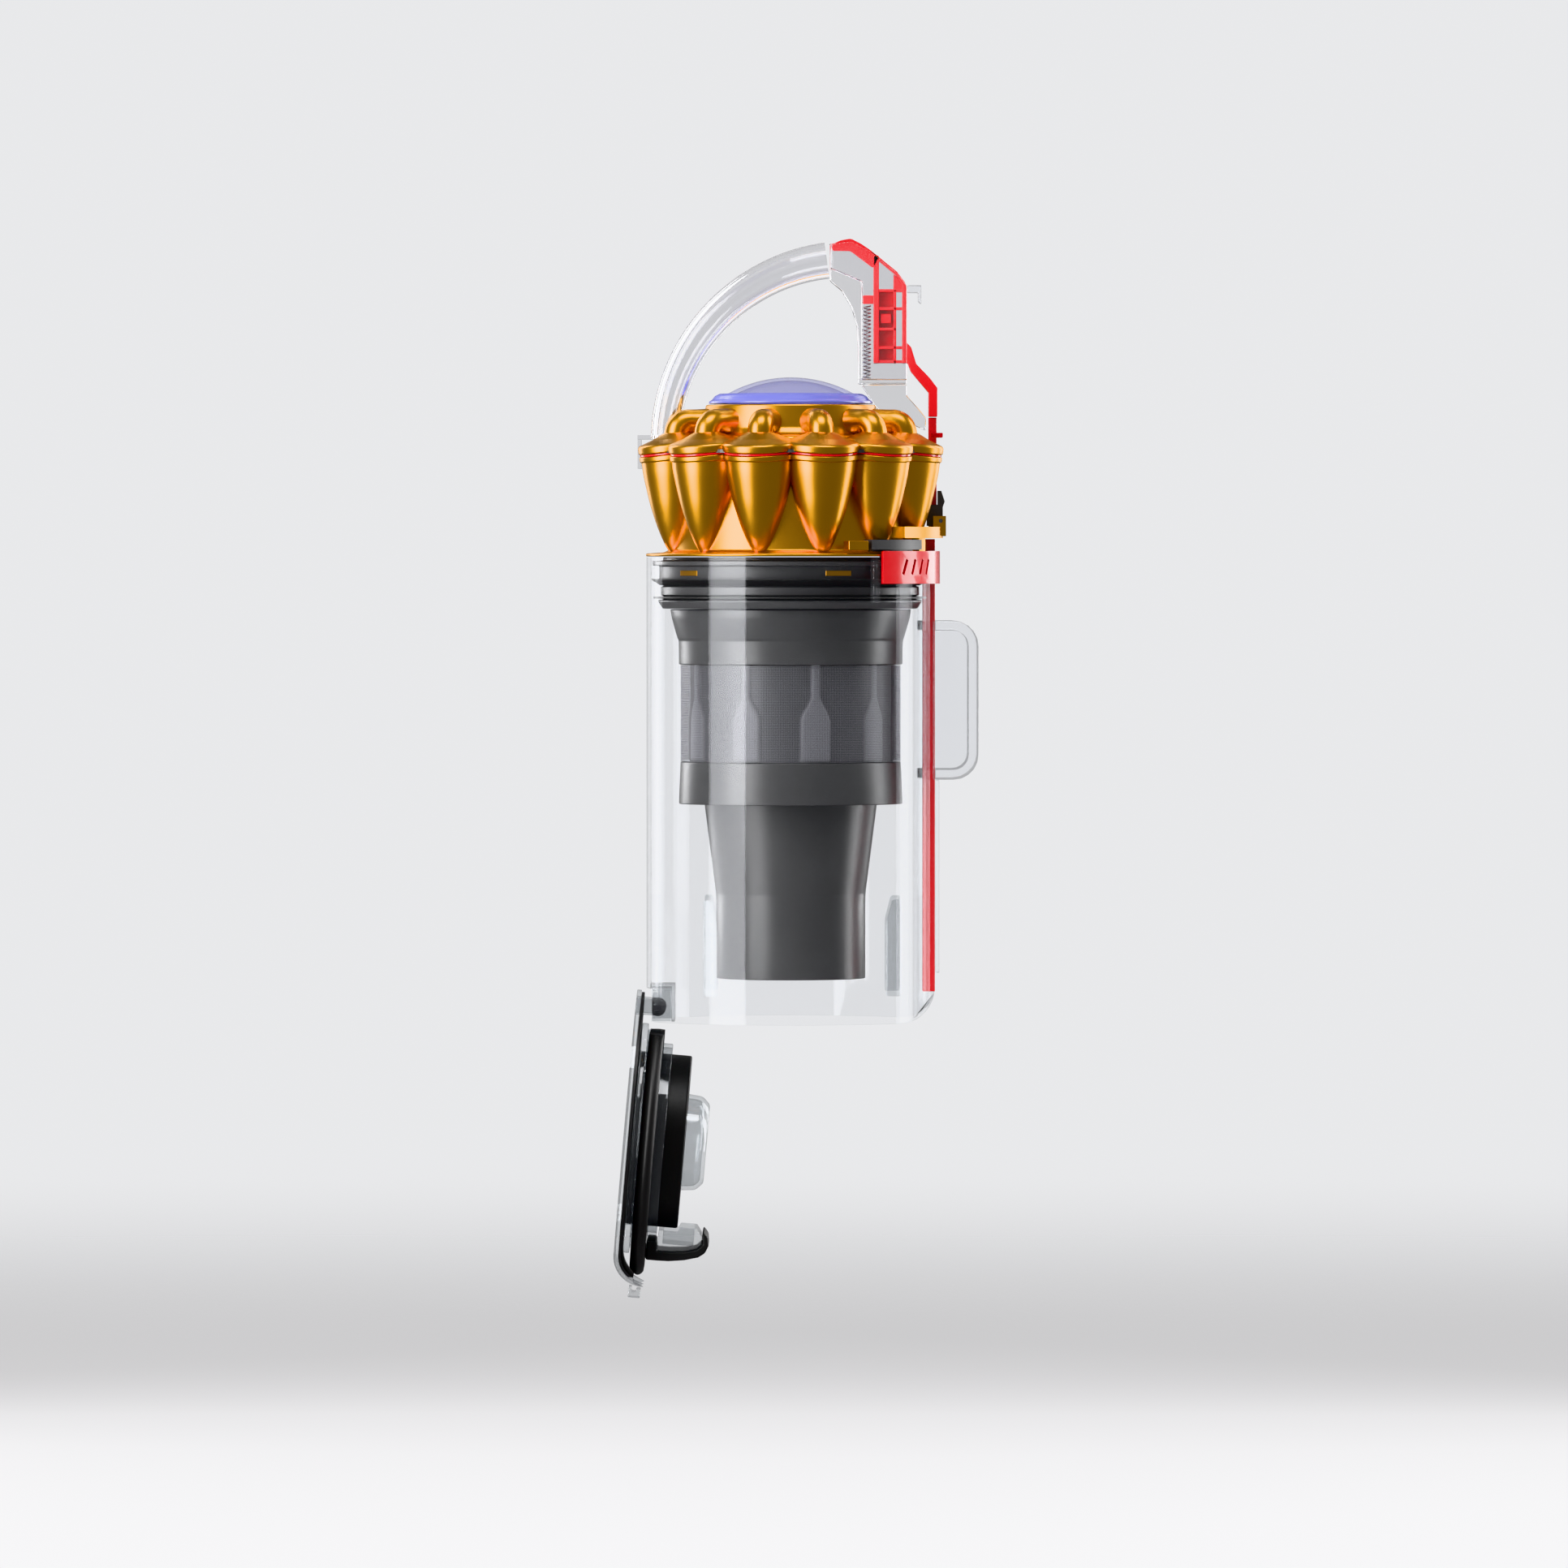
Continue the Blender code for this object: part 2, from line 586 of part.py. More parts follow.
def handle_column():
    """The clear housing at the thumb end: two cheeks with a deep pocket for the button between them."""
    bend = [(20.4, 384.6), (26.5, 379.5), (31.5, 371.0), (34.4, 361.0), (35.0, 350.0)]
    top = [(60.2, 382.0), (55.5, 388.4), (41.5, 399.6), (31.0, 405.0), (20.4, 403.6)]
    outline = [*bend, (35.0, 331.0), (60.2, 331.0), *top]
    column = extruded("handle_column", outline, -HANDLE_HALF, HANDLE_HALF, "clear")
    pocket = [(21.0, 420.0), (21.0, 390.6), (36.6, 384.0), (36.6, 333.0), (70.0, 333.0), (70.0, 420.0)]
    return cut(column, extruded("button_pocket", pocket, -POCKET_SIDE, POCKET_SIDE))


def foot_outline(grow=0.0):
    """The foot wedge's side outline; grow pushes its underside down for the bed in the cover."""
    under = [(36.6, 330.6), (44.6, 318.7), (50.0, 315.0), (58.9, 312.0), (70.2, 306.8)]
    over = [(70.2, 313.5), (66.5, 318.0), (60.2, 325.0), (60.2, 330.6)]
    return [(x, z - grow) for x, z in under] + over


def handle_foot():
    return extruded("handle_foot", foot_outline(), -POCKET_SIDE, POCKET_SIDE, "clear")


def docking_hook():
    outline = [(60.6, 378.5), (66.2, 378.5), (66.2, 374.0), (67.8, 372.6), (67.8, 382.2), (60.6, 382.2)]
    return extruded("docking_hook", outline, -HANDLE_HALF, HANDLE_HALF, "clear")


def arm_guide():
    """A U round the push rod's top end, open towards the handle."""
    guide = [(73.0, -9), (79.0, -9), (79.0, 9), (73.0, 9)]
    slot = [(73.0, 4.6), (77.0, 4.6), (77.0, -4.6), (73.0, -4.6)]
    return extruded("arm_guide", guide + slot, 303.2, 305.6, "red", along="Z")


def latch_rail(side, name):
    rail = sector(name, 69.2, 77.6, 29.0 * side, 57.0 * side, (244.9, 250.1), "iron")
    return add(rail, sector(f"{name}_foot", 69.2, 73.4, 31.0 * side, 55.0 * side, (243.95, 246.0)))


def rail_stop(side, name):
    return sector(name, 69.2, 76.8, 58.4 * side, 67.0 * side, (244.6, 249.5), "gold", steps=4)


def catch_bracket():
    """A gold bridge over the push rod that carries the catch's pin in two ears."""
    bracket = sector("catch_bracket", 70.3, 79.2, -42, 42, (251.0, 256.7), "gold", steps=10)
    for side in (-1, 1):
        low, high = sorted((9.6 * side, 11.8 * side))
        add(bracket, block(f"pin_ear{side}", (74.0, 80.6), (low, high), (252.0, 262.4)))
        add(bracket, sector(f"bracket_leg{side}", 70.3, 74.6, 21 * side, 27 * side, (244.0, 252.0), steps=3))
    way = block("bracket_way", (60, 76.4), (-4.2, 4.2), (250, 258))
    return cut(bracket, way, bar_along_y("ear_holes", CATCH_X, CATCH_Z, 1.06, 13, steps=16))


# Release button


def release_button():
    """The red thumb cap and the body under it, with a lug that stands on the spring."""
    cap = [(31.0, 400.2), (21.4, 400.2), (21.4, 403.4), (26.0, 405.6), (31.2, 406.5), (36.5, 403.8)]
    back = [(41.5, 400.4), (55.3, 389.2), (59.4, 383.6), (59.4, 341.8), (43.0, 341.8)]
    lug = [(43.0, 372.6), (37.4, 372.6), (37.4, 377.0), (43.0, 377.0), (43.0, 392.0)]
    return extruded("release_button", cap + back + lug, -7.6, 7.6, "red")


def push_arm():
    """A cranked arm from the button out and down to the push rod."""
    upper = [(59.8, 353.0), (62.6, 350.0), (65.2, 341.5), (72.4, 334.0), (76.2, 329.0), (76.2, 314.0)]
    under = [(71.6, 314.0), (71.6, 326.5), (62.4, 337.4), (60.7, 341.8), (59.8, 341.8)]
    return extruded("push_arm", upper + under, -7, 7, "red")


def push_rod():
    return block("push_rod", (71.6, 75.8), (-3.6, 3.6), (251.0, 313.6), "red")


def button_spring():
    """A coil of round wire: a helix sampled by angle, with a small ring at each sample."""
    turns, per_turn, sides = 9, 8, 3
    coil, wire = 1.75, 0.32
    low, high = 333.8, 371.9
    centres = []
    rings = []
    for k in range(turns * per_turn + 1):
        share = k / (turns * per_turn)
        angle = 2 * pi * turns * share
        out = (cos(angle), sin(angle))
        centres.append((39.6 + coil * out[0], coil * out[1], low + (high - low) * share))
        ring = [(wire * cos(2 * pi * j / sides), wire * sin(2 * pi * j / sides)) for j in range(sides)]
        rings.append([(a * out[0], a * out[1], b) for a, b in ring])
    return swept("button_spring", centres, rings, "steel")


# Pack catch


def pack_catch():
    """A grey rocker that straddles the push rod and turns on a pin near its foot."""
    rocker_outline = [(70.8, -9), (79.0, -9), (79.0, 9), (70.8, 9)]
    slot = [(70.8, 4.3), (76.4, 4.3), (76.4, -4.3), (70.8, -4.3)]
    rocker = extruded("pack_catch", rocker_outline + slot, 257.3, 268.3, "iron", along="Z")
    lip = [(76.4, 267.0), (79.0, 267.0), (80.0, 270.0), (78.2, 275.5), (76.4, 275.5)]
    add(rocker, extruded("catch_lip", lip, -9, 9))
    return cut(rocker, bar_along_y("catch_bore", CATCH_X, CATCH_Z, 1.06, 13, steps=16))


def catch_pin():
    return bar_along_y("catch_pin", CATCH_X, CATCH_Z, 1.0, 11.6, "steel", steps=16)


# Filter


def filter_rim():
    profile = [(33.2, 320.8), (42.6, 320.8), (41.4, 322.4), (36.9, 326.0), (33.2, 326.0)]
    rim = turned("filter_rim", profile, "lavender")
    return add(rim, block("turn_tab", (-43.6, -38.0), (-4, 4), (320.8, 323.6)))


def filter_dome():
    """A shallow clear cap, part of a sphere, thin and open below."""
    edge, base, apex, wall = 32.8, 324.4, 334.5, 1.8
    rise = apex - base
    ball = (edge * edge + rise * rise) / (2 * rise)
    steps = 4
    outer = [(edge * (1 - k / steps), 0) for k in range(steps + 1)]
    upper = [(r, apex - ball + sqrt(ball * ball - r * r)) for r, _ in outer]
    lower = [(r * (edge - wall) / edge, z - wall) for r, z in reversed(upper)]
    return turned("filter_dome", upper + lower, "clear")


def filter_foam():
    return turned("filter_foam", [(18, 286), (38.6, 286), (38.6, 320.2), (18, 320.2)], "foam")


def build():
    clear_scene()
    unit = empty("unit", z=-GRIP_HEIGHT)
    hang(unit, (0, 0, 0), bin_shell(), inlet_port(), rod_guide(), hinge_pin())
    rod_slide = empty("rod_slide", x=ROD_X, z=ROD_Z, parent=unit)
    hang(rod_slide, (ROD_X, 0, ROD_Z), release_rod(), rod_plate())
    pack = empty("pack_lift", parent=unit)
    hang(pack, (0, 0, 0), cyclone_body(), cyclone_gasket(), vortex_plate(), cyclone_cover(), collar())
    hang(pack, (0, 0, 0), bin_seal(), lower_seal(), shroud_skirt(), shroud_screen(), shroud_core())
    hang(pack, (0, 0, 0), lower_skirt(), dust_cone(), handle_arch(), handle_column(), handle_foot())
    hang(pack, (0, 0, 0), docking_hook(), arm_guide(), catch_bracket(), catch_pin())
    for side, place in ((-1, "front"), (1, "back")):
        hang(pack, (0, 0, 0), latch_rail(side, f"latch_rail_{place}"), rail_stop(side, f"rail_stop_{place}"))
    press = empty("button_press", x=50, z=372, parent=pack)
    hang(press, (50, 0, 372), release_button(), push_arm(), push_rod(), button_spring())
    catch = empty("catch_turn", x=CATCH_X, z=CATCH_Z, parent=pack)
    hang(catch, (CATCH_X, 0, CATCH_Z), pack_catch())
    turn = empty("filter_turn", z=320, parent=pack)
    hang(turn, (0, 0, 320), filter_rim(), filter_dome(), filter_foam())
    flap = empty("flap_hinge", x=HINGE_X, z=HINGE_Z, parent=unit)
    pivot = (HINGE_X, 0, HINGE_Z)
    hang(flap, pivot, flap_plate(), flap_gasket(), flap_rim_seal(), inner_tray(), collector_seal())
    hang(flap, pivot, collector_cup(), duct_boot(), boot_window(), flap_catch())
    flap.rotation_euler = (0, radians(OPEN_ANGLE), 0)


build()
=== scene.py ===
import json

import bmesh
import bpy
import numpy as np
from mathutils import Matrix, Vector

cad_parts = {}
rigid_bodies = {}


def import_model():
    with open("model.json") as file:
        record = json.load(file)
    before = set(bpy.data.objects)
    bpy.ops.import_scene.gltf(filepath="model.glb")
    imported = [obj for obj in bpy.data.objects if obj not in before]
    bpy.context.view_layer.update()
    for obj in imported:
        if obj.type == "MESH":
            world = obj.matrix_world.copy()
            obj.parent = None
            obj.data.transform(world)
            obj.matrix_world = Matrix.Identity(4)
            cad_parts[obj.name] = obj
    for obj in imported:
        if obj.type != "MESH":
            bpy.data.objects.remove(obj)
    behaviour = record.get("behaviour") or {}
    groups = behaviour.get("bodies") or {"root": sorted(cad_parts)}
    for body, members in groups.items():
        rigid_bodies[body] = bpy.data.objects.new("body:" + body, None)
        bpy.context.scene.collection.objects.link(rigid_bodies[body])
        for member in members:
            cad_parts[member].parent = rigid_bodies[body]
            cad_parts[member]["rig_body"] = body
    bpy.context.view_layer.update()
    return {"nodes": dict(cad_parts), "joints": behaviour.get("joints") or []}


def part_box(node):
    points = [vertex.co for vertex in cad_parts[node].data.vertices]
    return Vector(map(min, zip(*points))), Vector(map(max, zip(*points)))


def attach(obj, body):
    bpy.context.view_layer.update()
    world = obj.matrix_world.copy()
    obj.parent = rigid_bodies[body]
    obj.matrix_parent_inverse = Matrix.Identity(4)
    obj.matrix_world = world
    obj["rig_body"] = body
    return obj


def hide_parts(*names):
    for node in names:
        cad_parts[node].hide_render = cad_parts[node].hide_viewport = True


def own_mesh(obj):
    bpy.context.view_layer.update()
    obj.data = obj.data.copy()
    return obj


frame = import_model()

# The bin and cyclone unit, dressed over its solids. Heights are in millimetres above the bin's bottom
# rim, which the frame gives, and the bin's axis is Z.
mm = 0.001
binBottom = float(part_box("clear_bin")[0][2])
nodes = frame["nodes"]
hinge = next(j for j in frame["joints"] if j["name"] == "flap_hinge")
hingeX, hingeZ = hinge["pos_m"][0], hinge["pos_m"][2]
flapOpen = np.radians(hinge["range_deg"][1])
print("frame loaded:", len(nodes), "solids")


# Shader maths.
class Value:
    # One output socket; plain arithmetic on it adds Math nodes.
    def __init__(self, sheet, socket):
        self.sheet, self.socket = sheet, socket

    def math(self, operation, a, b):
        return self.sheet.node("ShaderNodeMath", {"operation": operation}, {0: a, 1: b})

    def __add__(self, other):
        return self.math("ADD", self, other)

    def __radd__(self, other):
        return self.math("ADD", other, self)

    def __sub__(self, other):
        return self.math("SUBTRACT", self, other)

    def __rsub__(self, other):
        return self.math("SUBTRACT", other, self)

    def __mul__(self, other):
        return self.math("MULTIPLY", self, other)

    def __rmul__(self, other):
        return self.math("MULTIPLY", other, self)

    def above(self, level):
        return self.math("GREATER_THAN", self, level)


class Sheet:
    # One node tree, a material's or the world's, with one way to add any node.
    def __init__(self, name, owner=None):
        self.owner = bpy.data.materials.new(name) if owner is None else owner
        self.owner.use_nodes = True
        self.tree = self.owner.node_tree
        self.tree.nodes.clear()

    def node(self, kind, settings=None, values=None, out=0):
        made = self.tree.nodes.new(kind)
        for key, setting in (settings or {}).items():
            setattr(made, key, setting)
        for key, value in (values or {}).items():
            socket = made.inputs[key]
            if isinstance(value, Value):
                self.tree.links.new(value.socket, socket)
            else:
                socket.default_value = value
        return Value(self, made.outputs[out]) if len(made.outputs) else None

    def coords(self):
        return self.node("ShaderNodeTexCoord", out="Object")

    def noise(self, scale, detail=3.0):
        values = {"Vector": self.coords(), "Scale": scale, "Detail": detail}
        return self.node("ShaderNodeTexNoise", {}, values)

    def colours(self, share, first, second):
        settings = {"data_type": "RGBA"}
        values = {0: share, 6: (*first, 1.0), 7: (*second, 1.0)}
        return self.node("ShaderNodeMix", settings, values, out=2)

    def bump(self, height, strength, distance):
        values = {"Height": height, "Strength": strength, "Distance": distance}
        return self.node("ShaderNodeBump", {}, values)

    def surface(self, values):
        return self.node("ShaderNodeBsdfPrincipled", {}, values)

    def finish(self, shader):
        self.node("ShaderNodeOutputMaterial", {}, {"Surface": shader})
        return self.owner


# Finishes: two near colours, how rough, and how far the gloss varies.
finishes = {
    "gold": dict(first=(0.62, 0.29, 0.032), second=(0.70, 0.35, 0.050), rough=0.31, spread=0.08),
    "red": dict(first=(0.50, 0.004, 0.007), second=(0.60, 0.008, 0.012), rough=0.24, spread=0.12),
    "iron": dict(first=(0.040, 0.040, 0.041), second=(0.060, 0.060, 0.061), rough=0.33, spread=0.14),
    "rubber": dict(first=(0.009, 0.009, 0.009), second=(0.018, 0.018, 0.018), rough=0.48, spread=0.2),
    "lavender": dict(first=(0.115, 0.125, 0.43), second=(0.15, 0.16, 0.50), rough=0.25, spread=0.1),
    "foam": dict(first=(0.45, 0.44, 0.56), second=(0.60, 0.59, 0.70), rough=0.9, spread=0.1),
    "steel": dict(first=(0.22, 0.22, 0.24), second=(0.36, 0.36, 0.38), rough=0.24, spread=0.2),
}


def moulded(name, grain=900.0, metallic=0.0, coat=0.0, bump=0.06):
    # Two near colours mixed by slow noise; fine noise gives the moulded grain and varies the gloss.
    look = finishes[name]
    sheet = Sheet(name)
    slow = sheet.noise(28.0)
    fine = sheet.noise(grain, 2.0)
    return sheet.finish(sheet.surface({
        "Base Color": sheet.colours(slow, look["first"], look["second"]),
        "Roughness": look["rough"] + (fine - 0.5) * look["spread"] + (slow - 0.5) * 0.06,
        "Metallic": metallic,
        "Coat Weight": coat,
        "Coat Roughness": 0.06,
        "Normal": sheet.bump(fine, bump, 0.0002),
    }))


clearLooks = {  # what shows through it, its shine, and the shine's share face on and edge on
    "binClear": dict(tint=(0.985, 0.987, 0.99), gloss=(0.72, 0.73, 0.76), face=0.026, edge=0.62, metal=0.9),
    "portClear": dict(tint=(0.95, 0.955, 0.965), gloss=(0.84, 0.85, 0.87), face=0.06, edge=0.85, metal=0.8),
    "flapClear": dict(tint=(0.91, 0.92, 0.925), gloss=(0.66, 0.67, 0.69), face=0.13, edge=0.85, metal=0.8),
    "domeClear": dict(tint=(0.86, 0.86, 0.95), gloss=(0.62, 0.62, 0.80), face=0.12, edge=0.85, metal=0.6),
    "redClear": dict(tint=(0.80, 0.06, 0.06), gloss=(0.52, 0.01, 0.015), face=0.45, edge=0.90, metal=0.2),
}
clearRough = 0.03  # the least roughness of any clear plastic


def clearPlastic(name):
    # A see-through wall: the share of its shine grows from face on to edge on as facing to the sixth power.
    look = clearLooks[name]
    gloss, face, edge = look["gloss"], look["face"], look["edge"]
    sheet = Sheet(name)
    slow = sheet.noise(16.0)
    facing = sheet.node("ShaderNodeLayerWeight", {}, {"Blend": 0.35}, out="Facing")
    through = sheet.node("ShaderNodeBsdfTransparent", {}, {"Color": (*look["tint"], 1.0)})
    shine = sheet.surface({
        "Base Color": sheet.colours(slow, gloss, tuple(c * 0.93 for c in gloss)),
        "Roughness": clearRough + slow * 0.03,
        "Metallic": look["metal"],
        "Normal": sheet.bump(sheet.noise(5.0, 1.0), 0.04, 0.002),
    })
    squared = facing * facing
    share = face + squared * squared * squared * (edge - face) + (slow - 0.5) * 0.01
    return sheet.finish(sheet.node("ShaderNodeMixShader", {}, {0: share, 1: through, 2: shine}))


def solidClear(name, tint):
    # Thick clear plastic that bends light; lamps shine through it so that what it holds is lit.
    sheet = Sheet(name)
    slow = sheet.noise(14.0)
    glass = sheet.surface({
        "Base Color": sheet.colours(slow, tint, tuple(c * 0.97 for c in tint)),
        "Roughness": clearRough + slow * 0.03,
        "Transmission Weight": 1.0,
        "IOR": 1.46,
        "Normal": sheet.bump(sheet.noise(9.0, 1.0), 0.04, 0.002),
    })
    through = sheet.node("ShaderNodeBsdfTransparent", {}, {"Color": (*tint, 1.0)})
    toLamp = sheet.node("ShaderNodeLightPath", out="Is Shadow Ray")
    return sheet.finish(sheet.node("ShaderNodeMixShader", {}, {0: toLamp, 1: glass, 2: through}))


def meshScreen():
    # A fine perforated sheet: round holes on a square grid in the piece's own map, see-through inside.
    sheet = Sheet("meshScreen")
    where = sheet.node("ShaderNodeUVMap", {"uv_map": "weave"})
    cells = sheet.node("ShaderNodeTexVoronoi", {}, {"Vector": where, "Scale": 1.0, "Randomness": 0.0})
    hole = 1.0 - cells.above(0.47)
    through = sheet.node("ShaderNodeBsdfTransparent", {}, {"Color": (0.9, 0.9, 0.92, 1.0)})
    wire = sheet.surface({
        "Base Color": sheet.colours(sheet.noise(30.0), (0.13, 0.13, 0.135), (0.19, 0.19, 0.2)),
        "Roughness": 0.3 + sheet.noise(500.0) * 0.2,
        "Metallic": 0.3,
    })
    return sheet.finish(sheet.node("ShaderNodeMixShader", {}, {0: hole * 0.92, 1: wire, 2: through}))


def coreWall():
    # Grey that turns paler where the wall stands out, by its distance from the axis.
    sheet = Sheet("coreWall")
    settings = {"operation": "MULTIPLY"}
    flat = sheet.node("ShaderNodeVectorMath", settings, {0: sheet.coords(), 1: (1.0, 1.0, 0.0)})
    reach = sheet.node("ShaderNodeVectorMath", {"operation": "LENGTH"}, {0: flat}, out="Value")
    out = sheet.node("ShaderNodeMapRange", {}, {"Value": reach, "From Min": 0.0525, "From Max": 0.0540})
    return sheet.finish(sheet.surface({
        "Base Color": sheet.colours(out, (0.13, 0.13, 0.135), (0.46, 0.46, 0.47)),
        "Roughness": 0.30 + sheet.noise(400.0) * 0.12,
    }))


gold = moulded("gold", 1400.0, metallic=1.0, bump=0.04)
red = moulded("red", 700.0, coat=0.6)
iron = moulded("iron", 1100.0, bump=0.08)
rubber = moulded("rubber", 600.0, bump=0.12)
lavender = moulded("lavender", 800.0, coat=0.3)
foam = moulded("foam", 380.0, bump=0.5)
steel = moulded("steel", 1200.0, metallic=1.0)
binClear, portClear, flapClear, domeClear, redClear = (clearPlastic(name) for name in clearLooks)
handleClear = solidClear("handleClear", (0.965, 0.965, 0.98))
screen = meshScreen()
print("finishes made")


# Surfaces.
def world(points):
    # Millimetres over the bin's rim to metres in the frame.
    placed = np.asarray(points, float) * mm
    placed[..., 2] += binBottom
    return placed


def swungOpen(points):
    # Closed-flap places turned about the hinge line to where the flap hangs.
    placed = world(points)
    dx, dz = placed[..., 0] - hingeX, placed[..., 2] - hingeZ
    turned = placed.copy()
    turned[..., 0] = hingeX + dx * np.cos(flapOpen) + dz * np.sin(flapOpen)
    turned[..., 2] = hingeZ - dx * np.sin(flapOpen) + dz * np.cos(flapOpen)
    return turned


def cornersRounded(outline, radius, steps=4):
    # Each corner becomes a quadratic curve from a point before it to a point after it, at most radius away.
    points = np.asarray(outline, float)
    before, after = np.roll(points, 1, 0), np.roll(points, -1, 0)
    toBefore, toAfter = before - points, after - points
    lengthB = np.linalg.norm(toBefore, axis=1, keepdims=True) + 1e-9
    lengthA = np.linalg.norm(toAfter, axis=1, keepdims=True) + 1e-9
    start = points + toBefore / lengthB * np.minimum(radius, 0.45 * lengthB)
    end = points + toAfter / lengthA * np.minimum(radius, 0.45 * lengthA)
    t = np.linspace(0, 1, steps)[None, :, None]
    curve = (1 - t) ** 2 * start[:, None] + 2 * t * (1 - t) * points[:, None] + t**2 * end[:, None]
    return curve.reshape(-1, 2)


def gridFaces(rows, columns, closeRows, closeColumns):
    # Quads over a grid of points, wrapped in either direction where it closes on itself.
    i = np.arange(rows if closeRows else rows - 1)[:, None]
    j = np.arange(columns if closeColumns else columns - 1)[None, :]
    i2, j2 = (i + 1) % rows, (j + 1) % columns
    quads = np.stack([i * columns + j, i * columns + j2, i2 * columns + j2, i2 * columns + j], -1)
    return quads.reshape(-1, 4)


def turnedGrid(profile, steps=160):
    # Point (i, j) is profile point i, its radius and height, at angle j round the bin's axis.
    profile = np.asarray(profile, float)
    angle = np.linspace(0, 2 * np.pi, steps, endpoint=False)
    r, z = profile[:, 0][:, None], profile[:, 1][:, None]
    points = np.stack([r * np.cos(angle), r * np.sin(angle), z + 0 * angle], -1)
    return points.reshape(-1, 3), gridFaces(len(profile), steps, True, True)


def carriedGrid(path, normals, binormals, section, widths):
    # Point (i, j) is path point i plus section point j, measured along that point's two cross directions.
    sx = section[:, 0][None, :, None] * widths[:, 0][:, None, None]
    sy = section[:, 1][None, :, None] * widths[:, 1][:, None, None]
    points = path[:, None] + sx * normals[:, None] + sy * binormals[:, None]
    return points.reshape(-1, 3), gridFaces(len(path), len(section), False, True)


def circle(count):
    # Points evenly round a unit circle.
    angle = np.linspace(0, 2 * np.pi, count, endpoint=False)
    return np.stack([np.cos(angle), np.sin(angle)], -1)


def spun(flat, turn):
    # The first two coordinates turned by an angle about the bin's axis; any third one is kept.
    c, s = np.cos(turn), np.sin(turn)
    x, y = flat[:, 0], flat[:, 1]
    return np.column_stack([x * c - y * s, x * s + y * c, flat[:, 2:]])


def arcBar(turn, outer, inner):
    # Seen from above, out along one radius and back along a smaller one over a run of angles.
    there = np.stack([outer * np.cos(turn), outer * np.sin(turn)], -1)
    back = np.stack([inner * np.cos(turn), inner * np.sin(turn)], -1)[::-1]
    return np.concatenate([there, back])


class Shape:
    # Gathers grids in millimetres, then becomes one piece with its faces turned outwards.
    def __init__(self):
        self.points, self.faces, self.count = [], [], 0

    def add(self, points, faces, caps=()):
        self.points.append(np.asarray(points, float))
        self.faces += (np.asarray(faces) + self.count).tolist()
        self.faces += [(np.asarray(cap) + self.count).tolist() for cap in caps]
        self.count += len(points)
        return self

    def lathe(self, profile, soft=0.5, steps=160, at=(0.0, 0.0), lean=None):
        # A soft-cornered outline turned round the axis, tipped if it leans, then moved to its place.
        points, faces = turnedGrid(cornersRounded(profile, soft), steps)
        if lean is not None:
            points = lean(points)
        return self.add(points + np.array([at[0], at[1], 0.0]), faces)

    def carried(self, path, normals, binormals, section, widths):
        # A section carried along a path, closed at both ends.
        points, faces = carriedGrid(path, normals, binormals, section, widths)
        n, last = len(section), (len(path) - 1) * len(section)
        return self.add(points, faces, [np.arange(n), np.arange(last, last + n)])

    def slab(self, outline, low, high, along="Y", turn=None):
        # An outline in (x, z) carried along Y, or in (x, y) carried along Z, then turned about the axis.
        flat = np.asarray(outline, float)
        n = len(flat)
        rings = []
        for level in (low, high):
            lift = np.full(n, level)
            columns = [flat[:, 0], lift, flat[:, 1]] if along == "Y" else [flat[:, 0], flat[:, 1], lift]
            rings.append(np.stack(columns, -1))
        points = np.concatenate(rings)
        if turn is not None:
            points = spun(points, turn)
        return self.add(points, gridFaces(2, n, False, True), [np.arange(n), np.arange(n, 2 * n)])

    def make(self, name, body, stands, look, slot, place=world, bevel=0.0, smooth=40.0):
        # One mesh from all the grids, with doubles merged and faces turned outwards.
        mesh = bpy.data.meshes.new(name)
        mesh.from_pydata(place(np.concatenate(self.points)).tolist(), [], self.faces)
        work = bmesh.new()
        work.from_mesh(mesh)
        bmesh.ops.remove_doubles(work, verts=work.verts, dist=1e-7)
        bmesh.ops.recalc_face_normals(work, faces=work.faces)
        work.to_mesh(mesh)
        work.free()
        return addPiece(name, mesh, body, stands, look, bevel, smooth)


def addPiece(name, mesh, body, stands, look, bevel=0.0, smooth=40.0):
    # Rides the mesh on its body, in place of the solids that it stands for.
    mesh.materials.clear()
    mesh.materials.append(look)
    mesh.shade_smooth()
    mesh.set_sharp_from_angle(angle=np.radians(smooth))
    piece = bpy.data.objects.new(name, mesh)
    bpy.context.scene.collection.objects.link(piece)
    if bevel:
        edge = piece.modifiers.new("softEdge", "BEVEL")
        edge.width, edge.segments, edge.limit_method = bevel * mm, 3, "ANGLE"
        edge.angle_limit = np.radians(32)
        edge.harden_normals = True
    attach(piece, body)
    if stands:
        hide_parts(*stands)
    return piece


def softened(node, look, bevel):
    # A copy of a solid with its triangles merged into flats and its edges rounded over.
    body = nodes[node]["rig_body"]
    mesh = nodes[node].data.copy()
    work = bmesh.new()
    work.from_mesh(mesh)
    bmesh.ops.remove_doubles(work, verts=work.verts, dist=2e-6)
    bmesh.ops.dissolve_limit(work, angle_limit=np.radians(1), verts=work.verts, edges=work.edges)
    work.to_mesh(mesh)
    work.free()
    for layer in [a for a in mesh.attributes if a.name in ("custom_normal", "sharp_face", "sharp_edge")]:
        mesh.attributes.remove(layer)
    return addPiece(f"{node}_finished", mesh, body, [node], look, bevel)


def recoloured(node, look):
    # A solid kept as it is, in its own finish.
    nodes[node].data.materials.clear()
    nodes[node].data.materials.append(look)


# Bin, in millimetres.
binSizes = dict(radius=75.0, bore=72.8, height=241.0, cornerX=57.0, cornerRadius=18.0,
                channelFloor=66.0, channelHalf=7.0, channelWall=2.0, pocketHalf=19.5, pocketTop=17.0)


